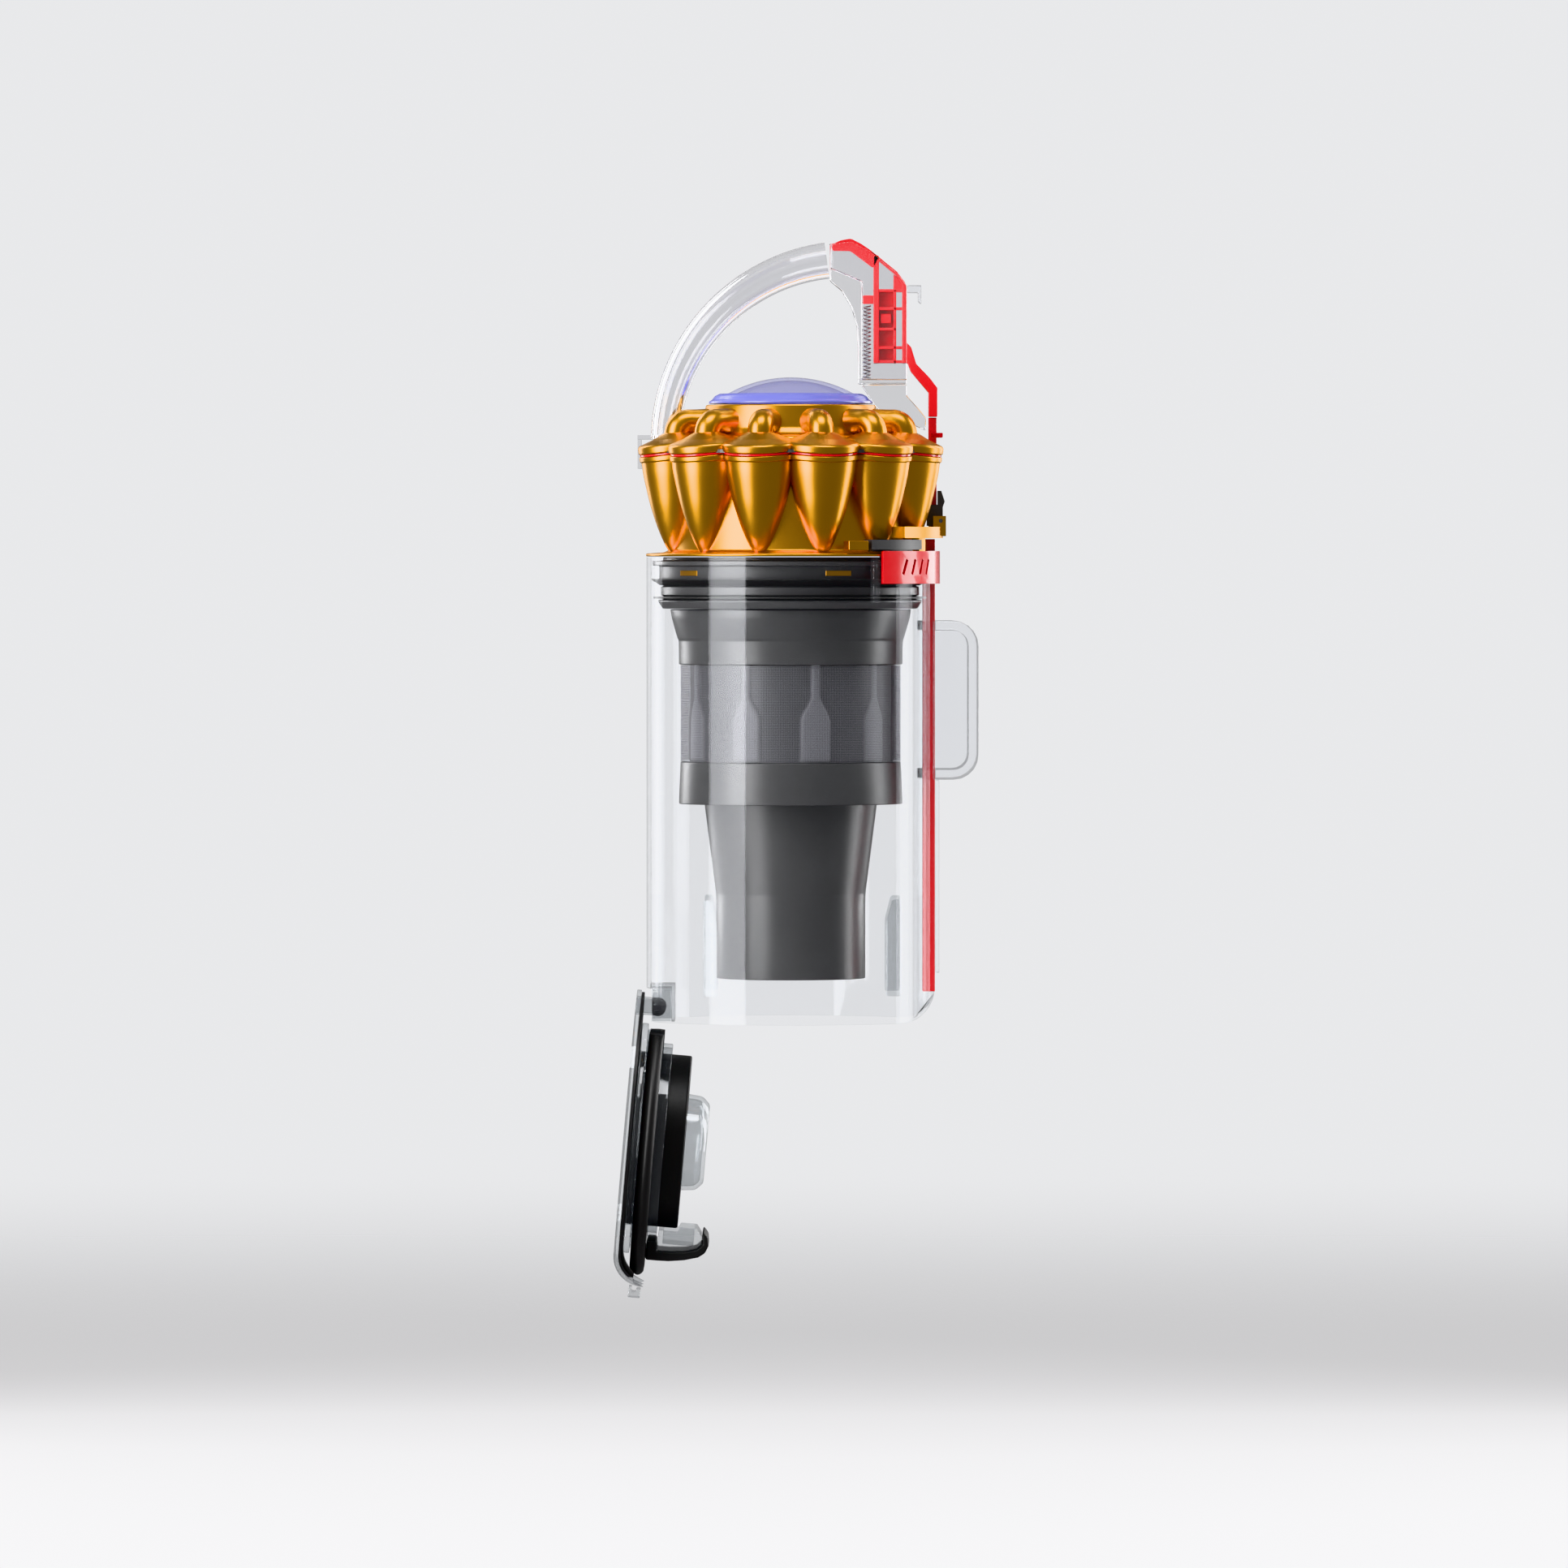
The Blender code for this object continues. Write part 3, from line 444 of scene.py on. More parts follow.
def binSection(radius, half, floor):
    # The bin's outline seen from above: a circle that turns in round the rod's channel at +X.
    start = np.arcsin(half / radius)
    angle = np.linspace(start, 2 * np.pi - start, 220)
    pocket = np.pi + np.array([-1, 1]) * np.arcsin(binSizes["pocketHalf"] / binSizes["radius"])
    steps = np.concatenate([pocket - 1e-4, pocket + 1e-4])
    angle = np.sort(np.concatenate([angle, steps]))
    ring = np.stack([radius * np.cos(angle), radius * np.sin(angle)], -1)
    channel = [(ring[-1][0], -half), (floor, -half), (floor, half), (ring[0][0], half)]
    return np.concatenate([ring, cornersRounded(channel, 1.2, 5)[5:15]])  # its two inner corners


def binFoot(section):
    # Height of the bottom edge: zero, rising in a round corner under the rod, and up over the hinge pocket.
    x, y = section[:, 0], section[:, 1]
    size = binSizes["cornerRadius"]
    reach = np.clip(x - binSizes["cornerX"], 0, size - 0.4)
    foot = size - np.sqrt(size**2 - reach**2)
    inPocket = (x < -50) & (np.abs(y) < binSizes["pocketHalf"])
    return np.where(inPocket, binSizes["pocketTop"], foot)


def clearBin():
    # Between an outer and an inner outline, each wall runs from its foot to the rim in even steps.
    s = binSizes
    shape = Shape()
    outer = binSection(s["radius"], s["channelHalf"], s["channelFloor"])
    inner = binSection(s["bore"], s["channelHalf"] + s["channelWall"], s["channelFloor"] - s["channelWall"])
    levels = np.array([0, 0.004, 0.02, 0.06, 0.25, 0.5, 0.75, 0.985, 0.997, 1.0])[:, None]
    walls = []
    for section, order in ((outer, levels), (inner, levels[::-1])):
        foot = binFoot(section)[None, :]
        z = foot + (s["height"] - foot) * order
        walls.append(np.stack([section[:, 0] + 0 * z, section[:, 1] + 0 * z, z], -1))
    points = np.concatenate(walls)
    shape.add(points.reshape(-1, 3), gridFaces(len(points), len(outer), True, True))
    return shape.make("bin_wall", "bin", ["clear_bin"], binClear, "clear_bin", smooth=50)


def hingePocket():
    # The box moulded in round the flap's hinge: an inner wall, a roof and two cheeks.
    shape = Shape()
    roof = [(-62.0, 0), (-60.2, 0), (-60.2, 19.0), (-73.0, 19.0), (-73.0, 17.2), (-62.0, 17.2)]
    shape.slab(roof, -21.6, 21.6)
    for low, high in ((-21.6, -19.8), (19.8, 21.6)):
        shape.slab([(-72.0, 0.3), (-62.2, 0.3), (-62.2, 17.0), (-72.0, 17.0)], low, high)
    return shape.make("hinge_pocket", "bin", [], flapClear, "clear_bin", bevel=0.3)


finSizes = dict(angles=(128.0, -128.0, 38.0, -38.0), near=63.0, far=72.4, low=14.0, high=64.0, half=0.8)


def dustFins():
    # Upright ribs inside the bottom of the bin, each a thin slab turned to its own angle.
    s = finSizes
    near, far, low, high = s["near"], s["far"], s["low"], s["high"]
    corners = [(near, low), (far, low), (far, high), (near + 4.0, high), (near, high - 12.0)]
    side = cornersRounded(corners, 1.5)
    shape = Shape()
    for turn in np.radians(s["angles"]):
        shape.slab(side, -s["half"], s["half"], turn=turn)
    return shape.make("dust_fins", "bin", [], flapClear, "clear_bin", bevel=0.2)


guideSizes = dict(first=53.8, last=56.8, outer=78.0, inner=75.1, low=217.6, high=240.6)


def plateGuides():
    # Short clear walls on the bin that steer the ends of the red plate.
    s = guideSizes
    shape = Shape()
    for side in (-1, 1):
        turn = np.radians(np.linspace(s["first"], s["last"], 4)) * side
        shape.slab(arcBar(turn, s["outer"], s["inner"]), s["low"], s["high"], along="Z")
    return shape.make("plate_guides", "bin", [], portClear, "clear_bin", bevel=0.3)


clearBin()
hingePocket()
dustFins()
plateGuides()
softened("inlet_port", portClear, 0.8)
softened("rod_guide", binClear, 0.3)
recoloured("hinge_pin", steel)
print("bin made")


# Base flap, worked out closed and then swung open.
flapSizes = dict(face=-4.5, bendX=59.0, bendRadius=18.0, rodHalf=8.0, rodEnd=6.7, rodX=75.4, rodClear=62.3)


def flapLayer(name, near, far, radius, hole, look, slot, stands, reach=90.0, rodWay=False):
    # A sheet over (reach, angle): flat at one depth, then bent up past the bend line, closed round its edge.
    s = flapSizes
    angle = np.linspace(0, 2 * np.pi, 144, endpoint=False)[None, :]
    rows = []
    for depth, reaches in ((near, np.linspace(hole, radius, 22)), (far, np.linspace(radius, hole, 22))):
        r = reaches[:, None]
        x, y = np.minimum(r * np.cos(angle), reach), r * np.sin(angle)
        bend = s["bendRadius"] - depth
        past = np.clip((x - s["bendX"]) / bend, 0, 0.995)
        z = s["face"] + depth + bend - bend * np.sqrt(1 - past**2)
        x = np.where(x > s["bendX"], s["bendX"] + bend * past, x)
        inWay = rodWay and depth > 0
        low = inWay & (np.abs(y) < s["rodHalf"]) & (z > s["rodEnd"])  # where the rod's end comes down
        x, z = np.where(low & (x > 74.0), s["rodX"], x), np.where(low, s["rodEnd"], z)
        rows.append(np.stack([x, y, z], -1))
    points = np.concatenate(rows)
    shape = Shape().add(points.reshape(-1, 3), gridFaces(len(points), points.shape[1], True, True))
    return shape.make(name, "base_flap", stands, look, slot, place=swungOpen, smooth=35)


def flapRing(name, profile, look, slot, stands, chord=None, soft=0.6):
    # A turned ring of the flap, pressed flat at the hinge side and by the rod, where the bin comes past.
    points, faces = turnedGrid(cornersRounded(profile, soft), 160)
    if chord is not None:
        points[:, 0] = np.maximum(points[:, 0], chord)
        byRod = (points[:, 0] > flapSizes["rodClear"]) & (np.abs(points[:, 1]) < 12.0)
        points[byRod, 0] = flapSizes["rodClear"]
    shape = Shape().add(points, faces)
    return shape.make(name, "base_flap", stands, look, slot, place=swungOpen)


def flapKnuckle():
    # The rounded lug on the flap that turns on the pin.
    angle = np.radians(np.linspace(-20, 200, 24))
    top = [(-69.0 + 4.2 * np.cos(t), 7.0 + 4.2 * np.sin(t)) for t in angle]
    shape = Shape()
    for low, high in ((-18.9, -6.0), (6.0, 18.9)):
        shape.slab(top + [(-73.2, -4.4), (-64.8, -4.4)], low, high)
    return shape.make("flap_knuckle", "base_flap", [], flapClear, "clear_flap", place=swungOpen, bevel=0.3)


ribSizes = dict(count=18, inner=50.2, outer=57.6, half=0.7, low=2.8, high=9.5)


def trayRibs():
    # Moulded ribs that stand on the flap's inner face between its rings.
    s = ribSizes
    inner, outer, half = s["inner"], s["outer"], s["half"]
    flat = [(inner, -half), (outer, -half), (outer, half), (inner, half)]
    shape = Shape()
    for k in range(s["count"]):
        turn = np.radians(20 * k + 10)
        shape.slab(flat, s["low"], s["high"], along="Z", turn=turn)
    return shape.make("tray_ribs", "base_flap", [], flapClear, "clear_flap", place=swungOpen, bevel=0.2)


flapLayer("flap_sheet", 0.0, 2.2, 77.0, 0.05, flapClear, "clear_flap", ["flap_plate"], rodWay=True)
flapLayer("gasket_sheet", 2.5, 3.9, 76.0, 56.0, rubber, "rubber", ["flap_gasket"], reach=71.2)
rimSeal = [(60.4, 3.9), (68.2, 3.9), (71.6, 7.3), (71.6, 9.4), (69.6, 11.5), (60.4, 11.5)]
flapRing("rim_lip", rimSeal, rubber, "rubber", ["flap_rim_seal"], chord=-56.0, soft=1.2)
trayWall = [(45.4, -0.2), (60.0, -0.2), (60.0, 3.0), (50.4, 3.0), (50.4, 16.5), (48.4, 16.5), (48.4, 3.0),
            (45.4, 3.0)]
flapRing("tray_wall", trayWall, flapClear, "clear_flap", ["inner_tray"])
coneSeal = [(37.0, -0.2), (45.0, -0.2), (45.0, 27.0), (42.8, 27.0), (42.8, 21.5), (38.0, 21.5), (37.0, 19.5)]
flapRing("cone_seal", coneSeal, rubber, "rubber", ["collector_seal"], soft=1.4)
cup = [(36.6, -0.2), (36.6, 2.4), (27.5, 3.2), (24.4, 34.5), (20.5, 38.4), (0.05, 38.4), (0.05, 36.4),
       (19.6, 36.4), (22.4, 33.6), (25.4, 1.6), (25.4, -0.2)]
flapRing("cone_cup", cup, flapClear, "clear_flap", ["collector_cup"], soft=1.4)
flapKnuckle()
trayRibs()
softened("duct_boot", rubber, 1.2)
softened("boot_window", flapClear, 0.5)
softened("flap_catch", flapClear, 0.4)
print("flap made")


# Cyclones.
coneSizes = dict(count=12, circle=61.5, topRadius=18.2, tip=243.6, rimRadius=19.6, lean=7.0, leanZ=296.0)


def conePlaces():
    # The cones' angles, half a step off +X so that the push rod comes down between two of them.
    step = 360.0 / coneSizes["count"]
    return np.radians(step * (np.arange(coneSizes["count"]) + 0.5))


def notched(points):
    # Keeps the rims back from the way of the push rod, a slot at +X.
    inWay = (points[:, 0] > 66.0) & (np.abs(points[:, 1]) < 5.2)
    points[inWay, 0] = np.minimum(points[inWay, 0], 70.9)
    return points


def leaned(points, turn):
    # Tips a lid outwards about its own tangent, then stands it at its cone.
    lean, pivotZ = np.radians(coneSizes["lean"]), coneSizes["leanZ"]
    x, z = points[:, 0], points[:, 2] - pivotZ
    out = x * np.cos(lean) + z * np.sin(lean)
    up = pivotZ - x * np.sin(lean) + z * np.cos(lean)
    return notched(spun(np.stack([out + coneSizes["circle"], points[:, 1], up], -1), turn))


def cycloneBody():
    # A turned drum with its flange, and turned cones that bow out from a blunt tip to a round shoulder.
    s = coneSizes
    shape = Shape()
    drum = [(75.3, 241.4), (75.3, 242.9), (66.0, 243.5), (63.6, 244.6), (61.5, 262.0), (57.5, 283.0),
            (56.0, 292.0), (50.0, 292.0), (50.0, 241.4)]
    shape.lathe(drum, 0.8, 192)
    tip, top = s["tip"] - 0.4, s["topRadius"]
    cone = [(0.02, tip), (2.6, tip), (4.6, tip + 1.8), (7.2, tip + 7.0), (10.3, tip + 14.6),
            (13.6, tip + 25.0), (16.4, tip + 37.0), (17.4, tip + 42.0), (top - 0.4, 288.6), (top, 291.6),
            (0.02, 291.6)]
    edge = s["rimRadius"]
    rim = [(0.02, 291.6), (edge - 1.6, 291.6), (edge - 0.2, 292.4), (edge - 0.2, 294.9), (0.02, 294.9)]
    for turn in conePlaces():
        shape.lathe(cone, 4.0, 64, at=(s["circle"] * np.cos(turn), s["circle"] * np.sin(turn)))
        shape.lathe(rim, 0.5, 72, lean=lambda points: leaned(points, turn))
    return shape.make("gold_body", "cyclone_pack", ["cyclone_body"], gold, "gold", smooth=38)


def redGasket():
    # A thin turned ring between each cone's rim and its lid.
    edge = coneSizes["rimRadius"] - 0.7
    shape = Shape()
    line = [(8.0, 295.1), (edge, 295.1), (edge, 296.2), (8.0, 296.2)]
    for turn in conePlaces():
        shape.lathe(line, 0.3, 72, lean=lambda points: leaned(points, turn))
    return shape.make("gasket_line", "cyclone_pack", ["cyclone_gasket"], red, "red_gasket")


def fingerDucts(shape):
    # A round tube carried up from each lid, over a quarter turn and in to the drum, widening as it goes.
    t = np.linspace(0, 1, 26)
    bend = np.clip((t - 0.12) / 0.5, 0, 1) * np.pi / 2
    run = np.clip((t - 0.62) / 0.38, 0, 1)
    radius = 6.2
    x = coneSizes["circle"] - 0.4 - radius * (1 - np.cos(bend)) - run * 12.0
    z = 301.6 + np.clip(t / 0.12, 0, 1) * 3.4 + radius * np.sin(bend) - run * 0.6
    width = 6.5 + 2.2 * (1 - np.clip(t / 0.16, 0, 1)) ** 2 + 1.2 * run**1.5
    path = np.stack([x, 0 * x, z], -1)
    away = np.stack([np.cos(bend), 0 * x, np.sin(bend)], -1)
    side = np.stack([0 * x, 0 * x + 1, 0 * x], -1)
    for turn in conePlaces():
        c, s = np.cos(turn), np.sin(turn)
        spin = np.array([[c, s, 0], [-s, c, 0], [0, 0, 1]])
        shape.carried(path @ spin, away @ spin, side @ spin, circle(28), np.stack([width, width], -1))


def goldCover():
    # A turned drum in the middle, with a turned lid and a finger duct for each cone.
    s = coneSizes
    shape = Shape()
    drum = [(44.0, 299.0), (56.0, 299.0), (54.0, 303.4), (48.6, 305.0), (46.6, 308.0), (44.4, 318.4),
            (44.0, 320.2), (41.0, 320.2), (43.0, 305.0)]
    shape.lathe(drum, 0.9, 192)
    lid = [(0.02, 296.4), (s["rimRadius"], 296.4), (s["rimRadius"], 299.6), (18.8, 300.7), (12.0, 303.0),
           (6.6, 305.6), (5.4, 306.0), (0.02, 306.0)]
    for turn in conePlaces():
        shape.lathe(lid, 0.7, 72, lean=lambda points: leaned(points, turn))
    fingerDucts(shape)
    return shape.make("gold_cover", "cyclone_pack", ["cyclone_cover"], gold, "gold", smooth=38)


def turnedPiece(name, profile, stands, look, slot, soft=0.5, steps=180, body="cyclone_pack", notchX=None):
    # A turned outline, pressed flat at notchX where it meets the rod's channel.
    points, faces = turnedGrid(cornersRounded(profile, soft), steps)
    if notchX is not None:
        inWay = (points[:, 0] > notchX) & (np.abs(points[:, 1]) < 10.6)
        points[inWay, 0] = notchX
    return Shape().add(points, faces).make(name, body, stands, look, slot)


cycloneBody()
redGasket()
goldCover()
recoloured("vortex_plate", iron)
print("cyclones made")


# Collar, shroud and dust cone: (radius, height) outlines turned round the bin's axis.
collarEdge = [(66.3, 241.0), (66.3, 239.2), (71.9, 239.0), (71.9, 236.6), (68.4, 236.4), (68.4, 229.2),
              (66.2, 228.8), (66.2, 226.0), (67.6, 225.6), (67.6, 221.2), (66.2, 220.9), (66.2, 219.1),
              (69.0, 218.8), (69.0, 217.8), (66.6, 214.3), (60.5, 214.3), (60.5, 241.0)]
sealEdge = [(66.6, 226.4), (68.2, 226.4), (72.4, 229.2), (72.4, 229.9), (68.4, 228.4), (66.6, 228.4)]
lipEdge = [(66.6, 219.5), (71.6, 219.5), (71.6, 220.5), (66.6, 220.5)]
skirtEdge = [(62.6, 213.9), (61.9, 209.6), (60.4, 204.0), (58.9, 198.8), (58.3, 197.6), (58.2, 190),
             (58.2, 185.2), (55.2, 185.2), (55.2, 199.0), (57.8, 208.0), (58.6, 213.9)]
lowerEdge = [(57.3, 134.6), (58.2, 112.8), (55.6, 112.8), (54.8, 122.0), (47.4, 122.0), (47.4, 125.4),
             (53.6, 125.4), (53.6, 134.6)]
coneEdge = [(46.9, 125.0), (44.8, 112.4), (38.9, 66.0), (38.8, 60.0), (38.8, 22.0), (36.8, 22.0),
            (36.8, 65.5), (42.6, 112.4), (44.9, 125.0)]
turnedPiece("collar_ring", collarEdge, ["collar"], iron, "iron", notchX=62.8)
turnedPiece("seal_lip", sealEdge, ["bin_seal"], rubber, "rubber", 0.3, notchX=63.6)
turnedPiece("thin_lip", lipEdge, ["lower_seal"], rubber, "rubber", 0.3, notchX=63.6)
turnedPiece("upper_skirt", skirtEdge, ["shroud_skirt"], iron, "iron", 0.6)
turnedPiece("skirt_below", lowerEdge, ["lower_skirt"], iron, "iron", 0.5)
turnedPiece("cone_tube", coneEdge, ["dust_cone"], iron, "iron", 0.5)


insertSizes = dict(count=5, first=-68.8, halfTurn=5.9, outer=68.55, inner=67.4, low=231.3, high=234.1)


def collarInserts():
    # Gold bars that show through the collar's slots.
    s = insertSizes
    shape = Shape()
    for k in range(s["count"]):
        turn = np.radians(s["first"] + 72 * k + np.linspace(-s["halfTurn"], s["halfTurn"], 9))
        shape.slab(arcBar(turn, s["outer"], s["inner"]), s["low"], s["high"], along="Z")
    return shape.make("collar_inserts", "cyclone_pack", [], gold, "gold", bevel=0.3)


screenSizes = dict(low=135.0, high=184.8, outer=57.3, inner=56.9, pitch=0.9)


def shroudScreen():
    # A thin turned sheet with a map that counts hole pitches round it and up it.
    low, high, outer, inner, pitch = (screenSizes[key] for key in ("low", "high", "outer", "inner", "pitch"))
    profile = [(outer, high), (outer, low), (inner, low), (inner, high)]
    points, faces = turnedGrid(profile, 180)
    shape = Shape().add(points, faces)
    piece = shape.make("screen_sheet", "cyclone_pack", ["shroud_screen"], screen, "mesh", smooth=50)
    mesh = piece.data
    corner = np.zeros(len(mesh.loops), np.int32)
    mesh.loops.foreach_get("vertex_index", corner)
    place = np.zeros(len(mesh.vertices) * 3)
    mesh.vertices.foreach_get("co", place)
    place = place.reshape(-1, 3)[corner] / mm
    angle = np.arctan2(place[:, 1], place[:, 0]) % (2 * np.pi)
    first = np.repeat(angle[::4], 4)  # a quad's other corners stay within half a turn of its first
    wrapped = np.where(angle - first > np.pi, angle - 2 * np.pi, angle)
    angle = np.where(first - angle > np.pi, angle + 2 * np.pi, wrapped)
    around = np.round(2 * np.pi * outer / pitch) / (2 * np.pi)
    layer = mesh.uv_layers.new(name="weave")
    layer.data.foreach_set("uv", np.stack([angle * around, place[:, 2] / pitch], -1).ravel())
    return piece


coreSizes = dict(count=9, radius=52.2, bore=50.2, swell=1.9, low=126.0, high=212.0, wide=8.2, narrow=5.6)


def shroudCore():
    # The radius swells by 2t - t squared at each bottle's edge; the bottle's half width falls smoothly
    # from wide to its neck over the shoulder.
    c = coreSizes
    rows, steps = 90, 480
    z = np.linspace(c["low"], c["high"], rows)[:, None]
    angle = np.linspace(0, 2 * np.pi, steps, endpoint=False)[None, :]
    pitch = 2 * np.pi / c["count"]
    off = ((angle - np.radians(-116.0) + pitch / 2) % pitch - pitch / 2) * 53.0
    shoulder = np.clip((z - 156.0) / 14.0, 0, 1)
    half = c["wide"] - c["narrow"] * (3 * shoulder**2 - 2 * shoulder**3)
    inside = np.clip((half - np.abs(off)) / 1.4, 0, 1)
    lift = c["swell"] * inside * (2 - inside) * np.clip((z - 134.0) / 2.0, 0, 1)
    r = c["radius"] + lift
    outer = np.stack([r * np.cos(angle), r * np.sin(angle), z + 0 * r], -1)
    bore = c["bore"] + 0 * z
    inner = np.stack([bore * np.cos(angle), bore * np.sin(angle), z + 0 * angle], -1)[::-1]
    points = np.concatenate([outer, inner])
    shape = Shape().add(points.reshape(-1, 3), gridFaces(len(points), steps, True, True))
    return shape.make("bottle_core", "cyclone_pack", ["shroud_core"], coreWall(), "iron", smooth=60)


collarInserts()
shroudScreen()
shroudCore()
print("shroud made")


# Handle.
archSizes = dict(x=32.0, z=300.8, radius=104.8, footDepth=14.8, jointDepth=19.0, start=179.0, wall=2.4)


def carryArch():
    # An oval section carried round a circle; its depth and width grow evenly towards the thumb.
    s = archSizes
    end = 90.0 + np.degrees(np.arcsin((s["x"] - 18.8) / (s["radius"] - s["jointDepth"] / 2)))
    share = np.linspace(0, 1, 72)
    turn = np.radians(s["start"] + (end - s["start"]) * share)
    depth = s["footDepth"] + (s["jointDepth"] - s["footDepth"]) * share
    out = np.stack([np.cos(turn), 0 * turn, np.sin(turn)], -1)
    path = np.array([s["x"], 0, s["z"]]) + out * (s["radius"] - depth / 2)[:, None]
    across = np.zeros_like(out)
    across[:, 1] = 1.0
    return path, out, across, np.stack([depth / 2, 8.6 + 2.2 * share], -1)


def handleShell():
    # The arch's outside and, one wall further in, its bore: a thick clear tube, with the tabs at its foot.
    path, out, across, widths = carryArch()
    shape = Shape()
    n, rows = 48, len(path)
    outer, faces = carriedGrid(path, out, across, circle(n), widths)
    inner = carriedGrid(path, out, across, circle(n), widths - archSizes["wall"])[0]
    points = np.concatenate([outer, inner])
    k = np.arange(n)
    k2 = (k + 1) % n
    quads = [faces, faces[:, ::-1] + rows * n]
    for row in (0, rows - 1):
        a, b = row * n, rows * n + row * n
        quads.append(np.stack([a + k, a + k2, b + k2, b + k], -1))
    shape.add(points, np.concatenate(quads))
    shape.slab([(-79.6, 302.3), (-57.2, 302.3), (-57.2, 304.4), (-79.6, 304.4)], -8.8, 8.8)
    shape.slab([(-79.6, 287.1), (-77.6, 286.9), (-77.6, 302.0), (-79.6, 302.0)], -6.4, 6.4)
    return shape.make("carry_arch", "cyclone_pack", ["handle_arch"], handleClear, "clear_handle", smooth=50)


buttonSizes = dict(half=7.6, web=2.6, rib=1.5, left=43.0, right=59.4, bottom=341.8)


def releaseButton():
    # A thumb cap on an open frame: posts, a sloping rail and cross ribs, with a thin web between them.
    s = buttonSizes
    left, right, low, rib, half = s["left"], s["right"], s["bottom"], s["rib"], s["half"]
    shape = Shape()
    cap = [(21.4, 400.2), (21.4, 403.4), (26.0, 405.6), (31.2, 406.5), (36.5, 403.8), (41.5, 400.4),
           (46.0, 396.8), (left, 391.0), (31.0, 400.0)]
    shape.slab(cornersRounded(cap, 1.2), -half, half)
    shape.slab([(left, low), (left + 2.8, low), (left + 2.8, 397.4), (left, 398.4)], -half, half)
    shape.slab([(37.4, 372.6), (left + 1, 372.6), (left + 1, 377.0), (37.4, 377.0)], -5.0, 5.0)
    rail = [(41.5, 400.4), (55.3, 389.2), (right, 383.6), (right - rib, 382.8), (54.4, 387.6), (41.6, 398.2)]
    shape.slab(rail, -half, half)
    shape.slab([(right - rib, low), (right, low), (right, 384.0), (right - rib, 384.0)], -half, half)
    shape.slab([(53.4, 388.0), (57.9, 384.0), (right - 0.4, 379.8), (53.4, 379.8)], -half + 0.8, half - 0.8)
    for z, x in ((380.2, right), (370.8, right), (360.2, 54.8), (350.6, right), (low + rib, right)):
        shape.slab([(left, z - rib), (x, z - rib), (x, z), (left, z)], -half + 0.4, half - 0.4)
    shape.slab([(53.4, low), (54.8, low), (54.8, 380.0), (53.4, 380.0)], -half + 0.4, half - 0.4)
    shape.slab([(left + 1, low), (53.8, low), (53.8, 380.0), (left + 1, 380.0)], -s["web"], s["web"])
    shape.slab([(46.6, 362.6), (52.2, 362.6), (52.2, 367.4), (46.6, 367.4)], -half + 1.6, half - 1.6)
    return shape.make("button_frame", "release_button", ["release_button"], red, "red", bevel=0.25)


springSizes = dict(turns=19, coil=1.85, wire=0.36, x=39.6, low=334.0, length=37.6, foot=333.5)


def coilSpring():
    # Round wire along a helix: x and y turn with the angle as z climbs, with its turns closer at both ends.
    s = springSizes
    turns, coil = s["turns"], s["coil"]
    t = np.linspace(0, 1, turns * 22 + 1)
    angle = 2 * np.pi * turns * t
    climb = t - 0.012 * np.sin(2 * np.pi * t)
    path = np.stack([s["x"] + coil * np.cos(angle), coil * np.sin(angle), s["low"] + s["length"] * climb], -1)
    out = np.stack([np.cos(angle), np.sin(angle), 0 * angle], -1)
    up = np.zeros_like(out)
    up[:, 2] = 1.0
    shape = Shape().carried(path, out, up, circle(8), np.full((len(t), 2), s["wire"]))
    piece = shape.make("coil_spring", "cyclone_pack", ["button_spring"], steel, "steel", smooth=60)
    foot = world([s["x"], 0.0, s["foot"]])
    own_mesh(piece)
    return piece


handleShell()
coilSpring()
softened("handle_column", handleClear, 0.9)
softened("handle_foot", handleClear, 0.7)
softened("docking_hook", portClear, 0.5)
softened("arm_guide", redClear, 0.4)
releaseButton()
softened("push_arm", red, 0.6)
softened("push_rod", red, 0.3)
softened("release_rod", red, 0.4)
softened("rod_plate", red, 0.3)
for side in ("front", "back"):
    softened(f"latch_rail_{side}", iron, 0.5)
    softened(f"rail_stop_{side}", gold, 0.5)
softened("catch_bracket", gold, 0.4)
softened("pack_catch", iron, 0.5)
recoloured("catch_pin", steel)
print("handle made")


# Filter.
domeSizes = dict(edge=34.6, base=325.0, apex=334.5, wall=1.6)


def dome():
    # Part of a sphere: height falls from the apex by the ball's own curve out to the rim, doubled for a wall.
    edge, base, apex, wall = (domeSizes[key] for key in ("edge", "base", "apex", "wall"))
    rise = apex - base
    ball = (edge**2 + rise**2) / (2 * rise)
    r = np.linspace(edge, 0.02, 40)
    top = np.stack([r, apex - ball + np.sqrt(ball**2 - r**2)], -1)
    under = np.stack([r * (edge - wall) / edge, top[:, 1] - wall], -1)[::-1]
    points, faces = turnedGrid(np.concatenate([top, under]), 128)
    return Shape().add(points, faces).make("dome_cap", "filter", ["filter_dome"], domeClear, "clear_dome")


rimEdge = [(33.2, 320.8), (42.6, 320.8), (42.4, 322.0), (41.0, 322.8), (39.4, 324.8), (36.9, 326.0),
           (33.2, 325.8)]
dome()
turnedPiece("rim_ring", rimEdge, ["filter_rim"], lavender, "lavender", 0.4, body="filter")
foamEdge = [(18, 286), (38.6, 286), (38.6, 320.2), (18, 320.2)]
turnedPiece("foam_ring", foamEdge, ["filter_foam"], foam, "foam", 2.0, 96, body="filter")
print("filter made")


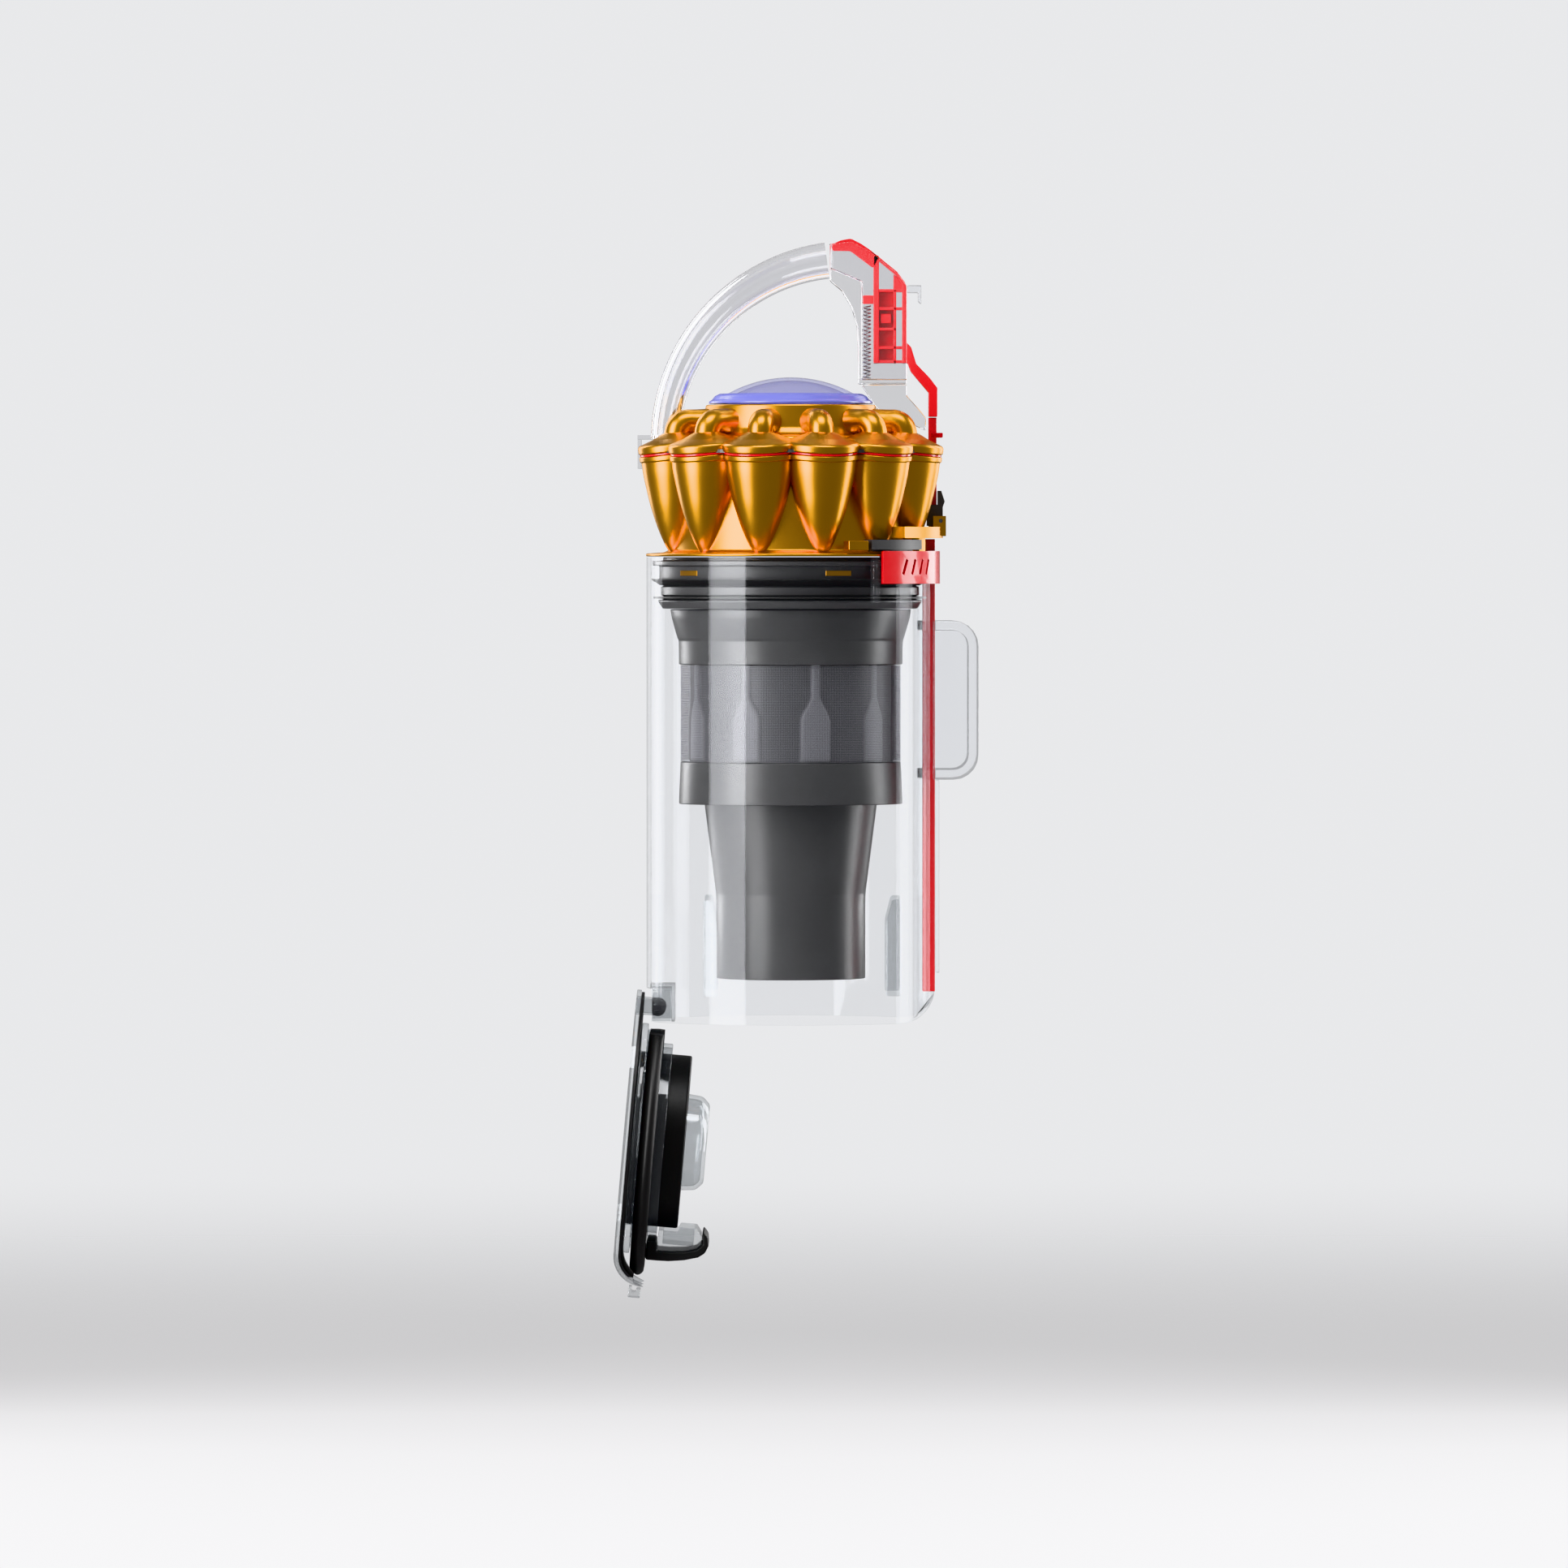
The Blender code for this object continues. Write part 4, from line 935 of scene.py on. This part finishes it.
# Floor, light and camera.
stageSizes = dict(floorDrop=0.34, floorSize=8.0, fadeFrom=1.6, fadeOver=4.5, back=(0.88, 0.885, 0.90),
                  room=(0.62, 0.61, 0.61), lit=(0.0, 0.0, -0.20), camera=(-0.0035, -6.6, 241.0), aim=123.0,
                  view=0.816)
lamps = {  # place, width and height in metres, power in watts
    "leftSoft": ((-1.28, -1.0, 0.10), (0.95, 2.0), 52.0),
    "rightSoft": ((1.45, 0.35, 0.10), (0.45, 2.0), 20.0),
    "topSoft": ((0.1, -0.9, 1.7), (1.4, 0.8), 26.0),
    "backLeft": ((-1.2, 1.4, 0.4), (0.6, 1.8), 22.0),
    "backRight": ((1.2, 1.4, 0.4), (0.6, 1.8), 22.0),
}


def floor():
    # A pale sheet that thins out evenly with distance, so that it has no far edge.
    s = stageSizes
    half, z = s["floorSize"], binBottom - s["floorDrop"]
    mesh = bpy.data.meshes.new("floor")
    corners = [(-half, -half, z), (half, -half, z), (half, half, z), (-half, half, z)]
    mesh.from_pydata(corners, [], [(0, 1, 2, 3)])
    sheet = Sheet("palePaper")
    slow = sheet.noise(0.6)
    paper = sheet.surface({
        "Base Color": sheet.colours(slow, (0.70, 0.70, 0.71), (0.73, 0.73, 0.74)),
        "Roughness": 0.75 + slow * 0.1,
        "Emission Color": (0.8, 0.8, 0.82, 1.0),
        "Emission Strength": 0.10,
    })
    away = sheet.node("ShaderNodeVectorMath", {"operation": "LENGTH"}, {0: sheet.coords()}, out="Value")
    gone = sheet.node("ShaderNodeMapRange", {"interpolation_type": "SMOOTHERSTEP"}, {
        "Value": away, "From Min": s["fadeFrom"], "From Max": s["fadeFrom"] + s["fadeOver"]})
    clear = sheet.node("ShaderNodeBsdfTransparent")
    fading = sheet.node("ShaderNodeMixShader", {}, {0: gone, 1: paper, 2: clear})
    mesh.materials.append(sheet.finish(fading))
    ground = bpy.data.objects.new("floor", mesh)
    bpy.context.scene.collection.objects.link(ground)
    ground.visible_glossy = False


def lamp(name, place, size, power):
    # A rectangle of light turned to face the middle of the unit.
    light = bpy.data.lights.new(name, "AREA")
    light.shape, light.size, light.size_y = "RECTANGLE", size[0], size[1]
    light.energy = power
    lit = bpy.data.objects.new(name, light)
    bpy.context.scene.collection.objects.link(lit)
    lit.location = place
    away = np.array(place) - np.array(stageSizes["lit"])
    tilt = np.arctan2(np.hypot(away[0], away[1]), away[2])
    lit.rotation_euler = (tilt, 0.0, np.arctan2(away[0], -away[1]))


def studio():
    # A dim room for reflections, with a pale backdrop where it is seen straight or through clear plastic.
    bpy.context.scene.view_settings.view_transform = "Khronos PBR Neutral"
    sheet = Sheet("studio", bpy.data.worlds.new("studio"))
    bpy.context.scene.world = sheet.owner
    straight = sheet.node("ShaderNodeLightPath", out="Is Camera Ray")
    through = sheet.node("ShaderNodeLightPath", out="Is Transmission Ray")
    mirrored = sheet.node("ShaderNodeLightPath", out="Is Glossy Ray")
    addUp = {"operation": "MULTIPLY_ADD"}
    seen = sheet.node("ShaderNodeMath", {**addUp, "use_clamp": True}, {0: through, 1: 0.7, 2: straight})
    dim = sheet.node("ShaderNodeMath", addUp, {0: mirrored, 1: -0.62, 2: 1.0})  # reflections see less of it
    room = sheet.node("ShaderNodeBackground", {}, {0: (*stageSizes["room"], 1.0), "Strength": dim})
    back = sheet.node("ShaderNodeBackground", {}, {0: (*stageSizes["back"], 1.0)})
    mix = sheet.node("ShaderNodeMixShader", {}, {0: seen, 1: room, 2: back})
    sheet.node("ShaderNodeOutputWorld", {}, {0: mix})
    for name, (place, size, power) in lamps.items():
        lamp(name, place, size, power)


def camera():
    # Its tilt points it at the aim height; its lens is set so that the view is that many metres wide there.
    x, y, height = stageSizes["camera"]
    eye = bpy.data.cameras.new("camera")
    seen = bpy.data.objects.new("camera", eye)
    bpy.context.scene.collection.objects.link(seen)
    z = binBottom + height * mm
    drop = (height - stageSizes["aim"]) * mm
    seen.location = (x, y, z)
    seen.rotation_euler = (np.arctan2(-y, drop), 0.0, 0.0)
    eye.sensor_width = 36.0
    eye.lens = 36.0 * np.hypot(y, drop) / stageSizes["view"]
    bpy.context.scene.camera = seen


floor()
studio()
camera()
print("stage set")
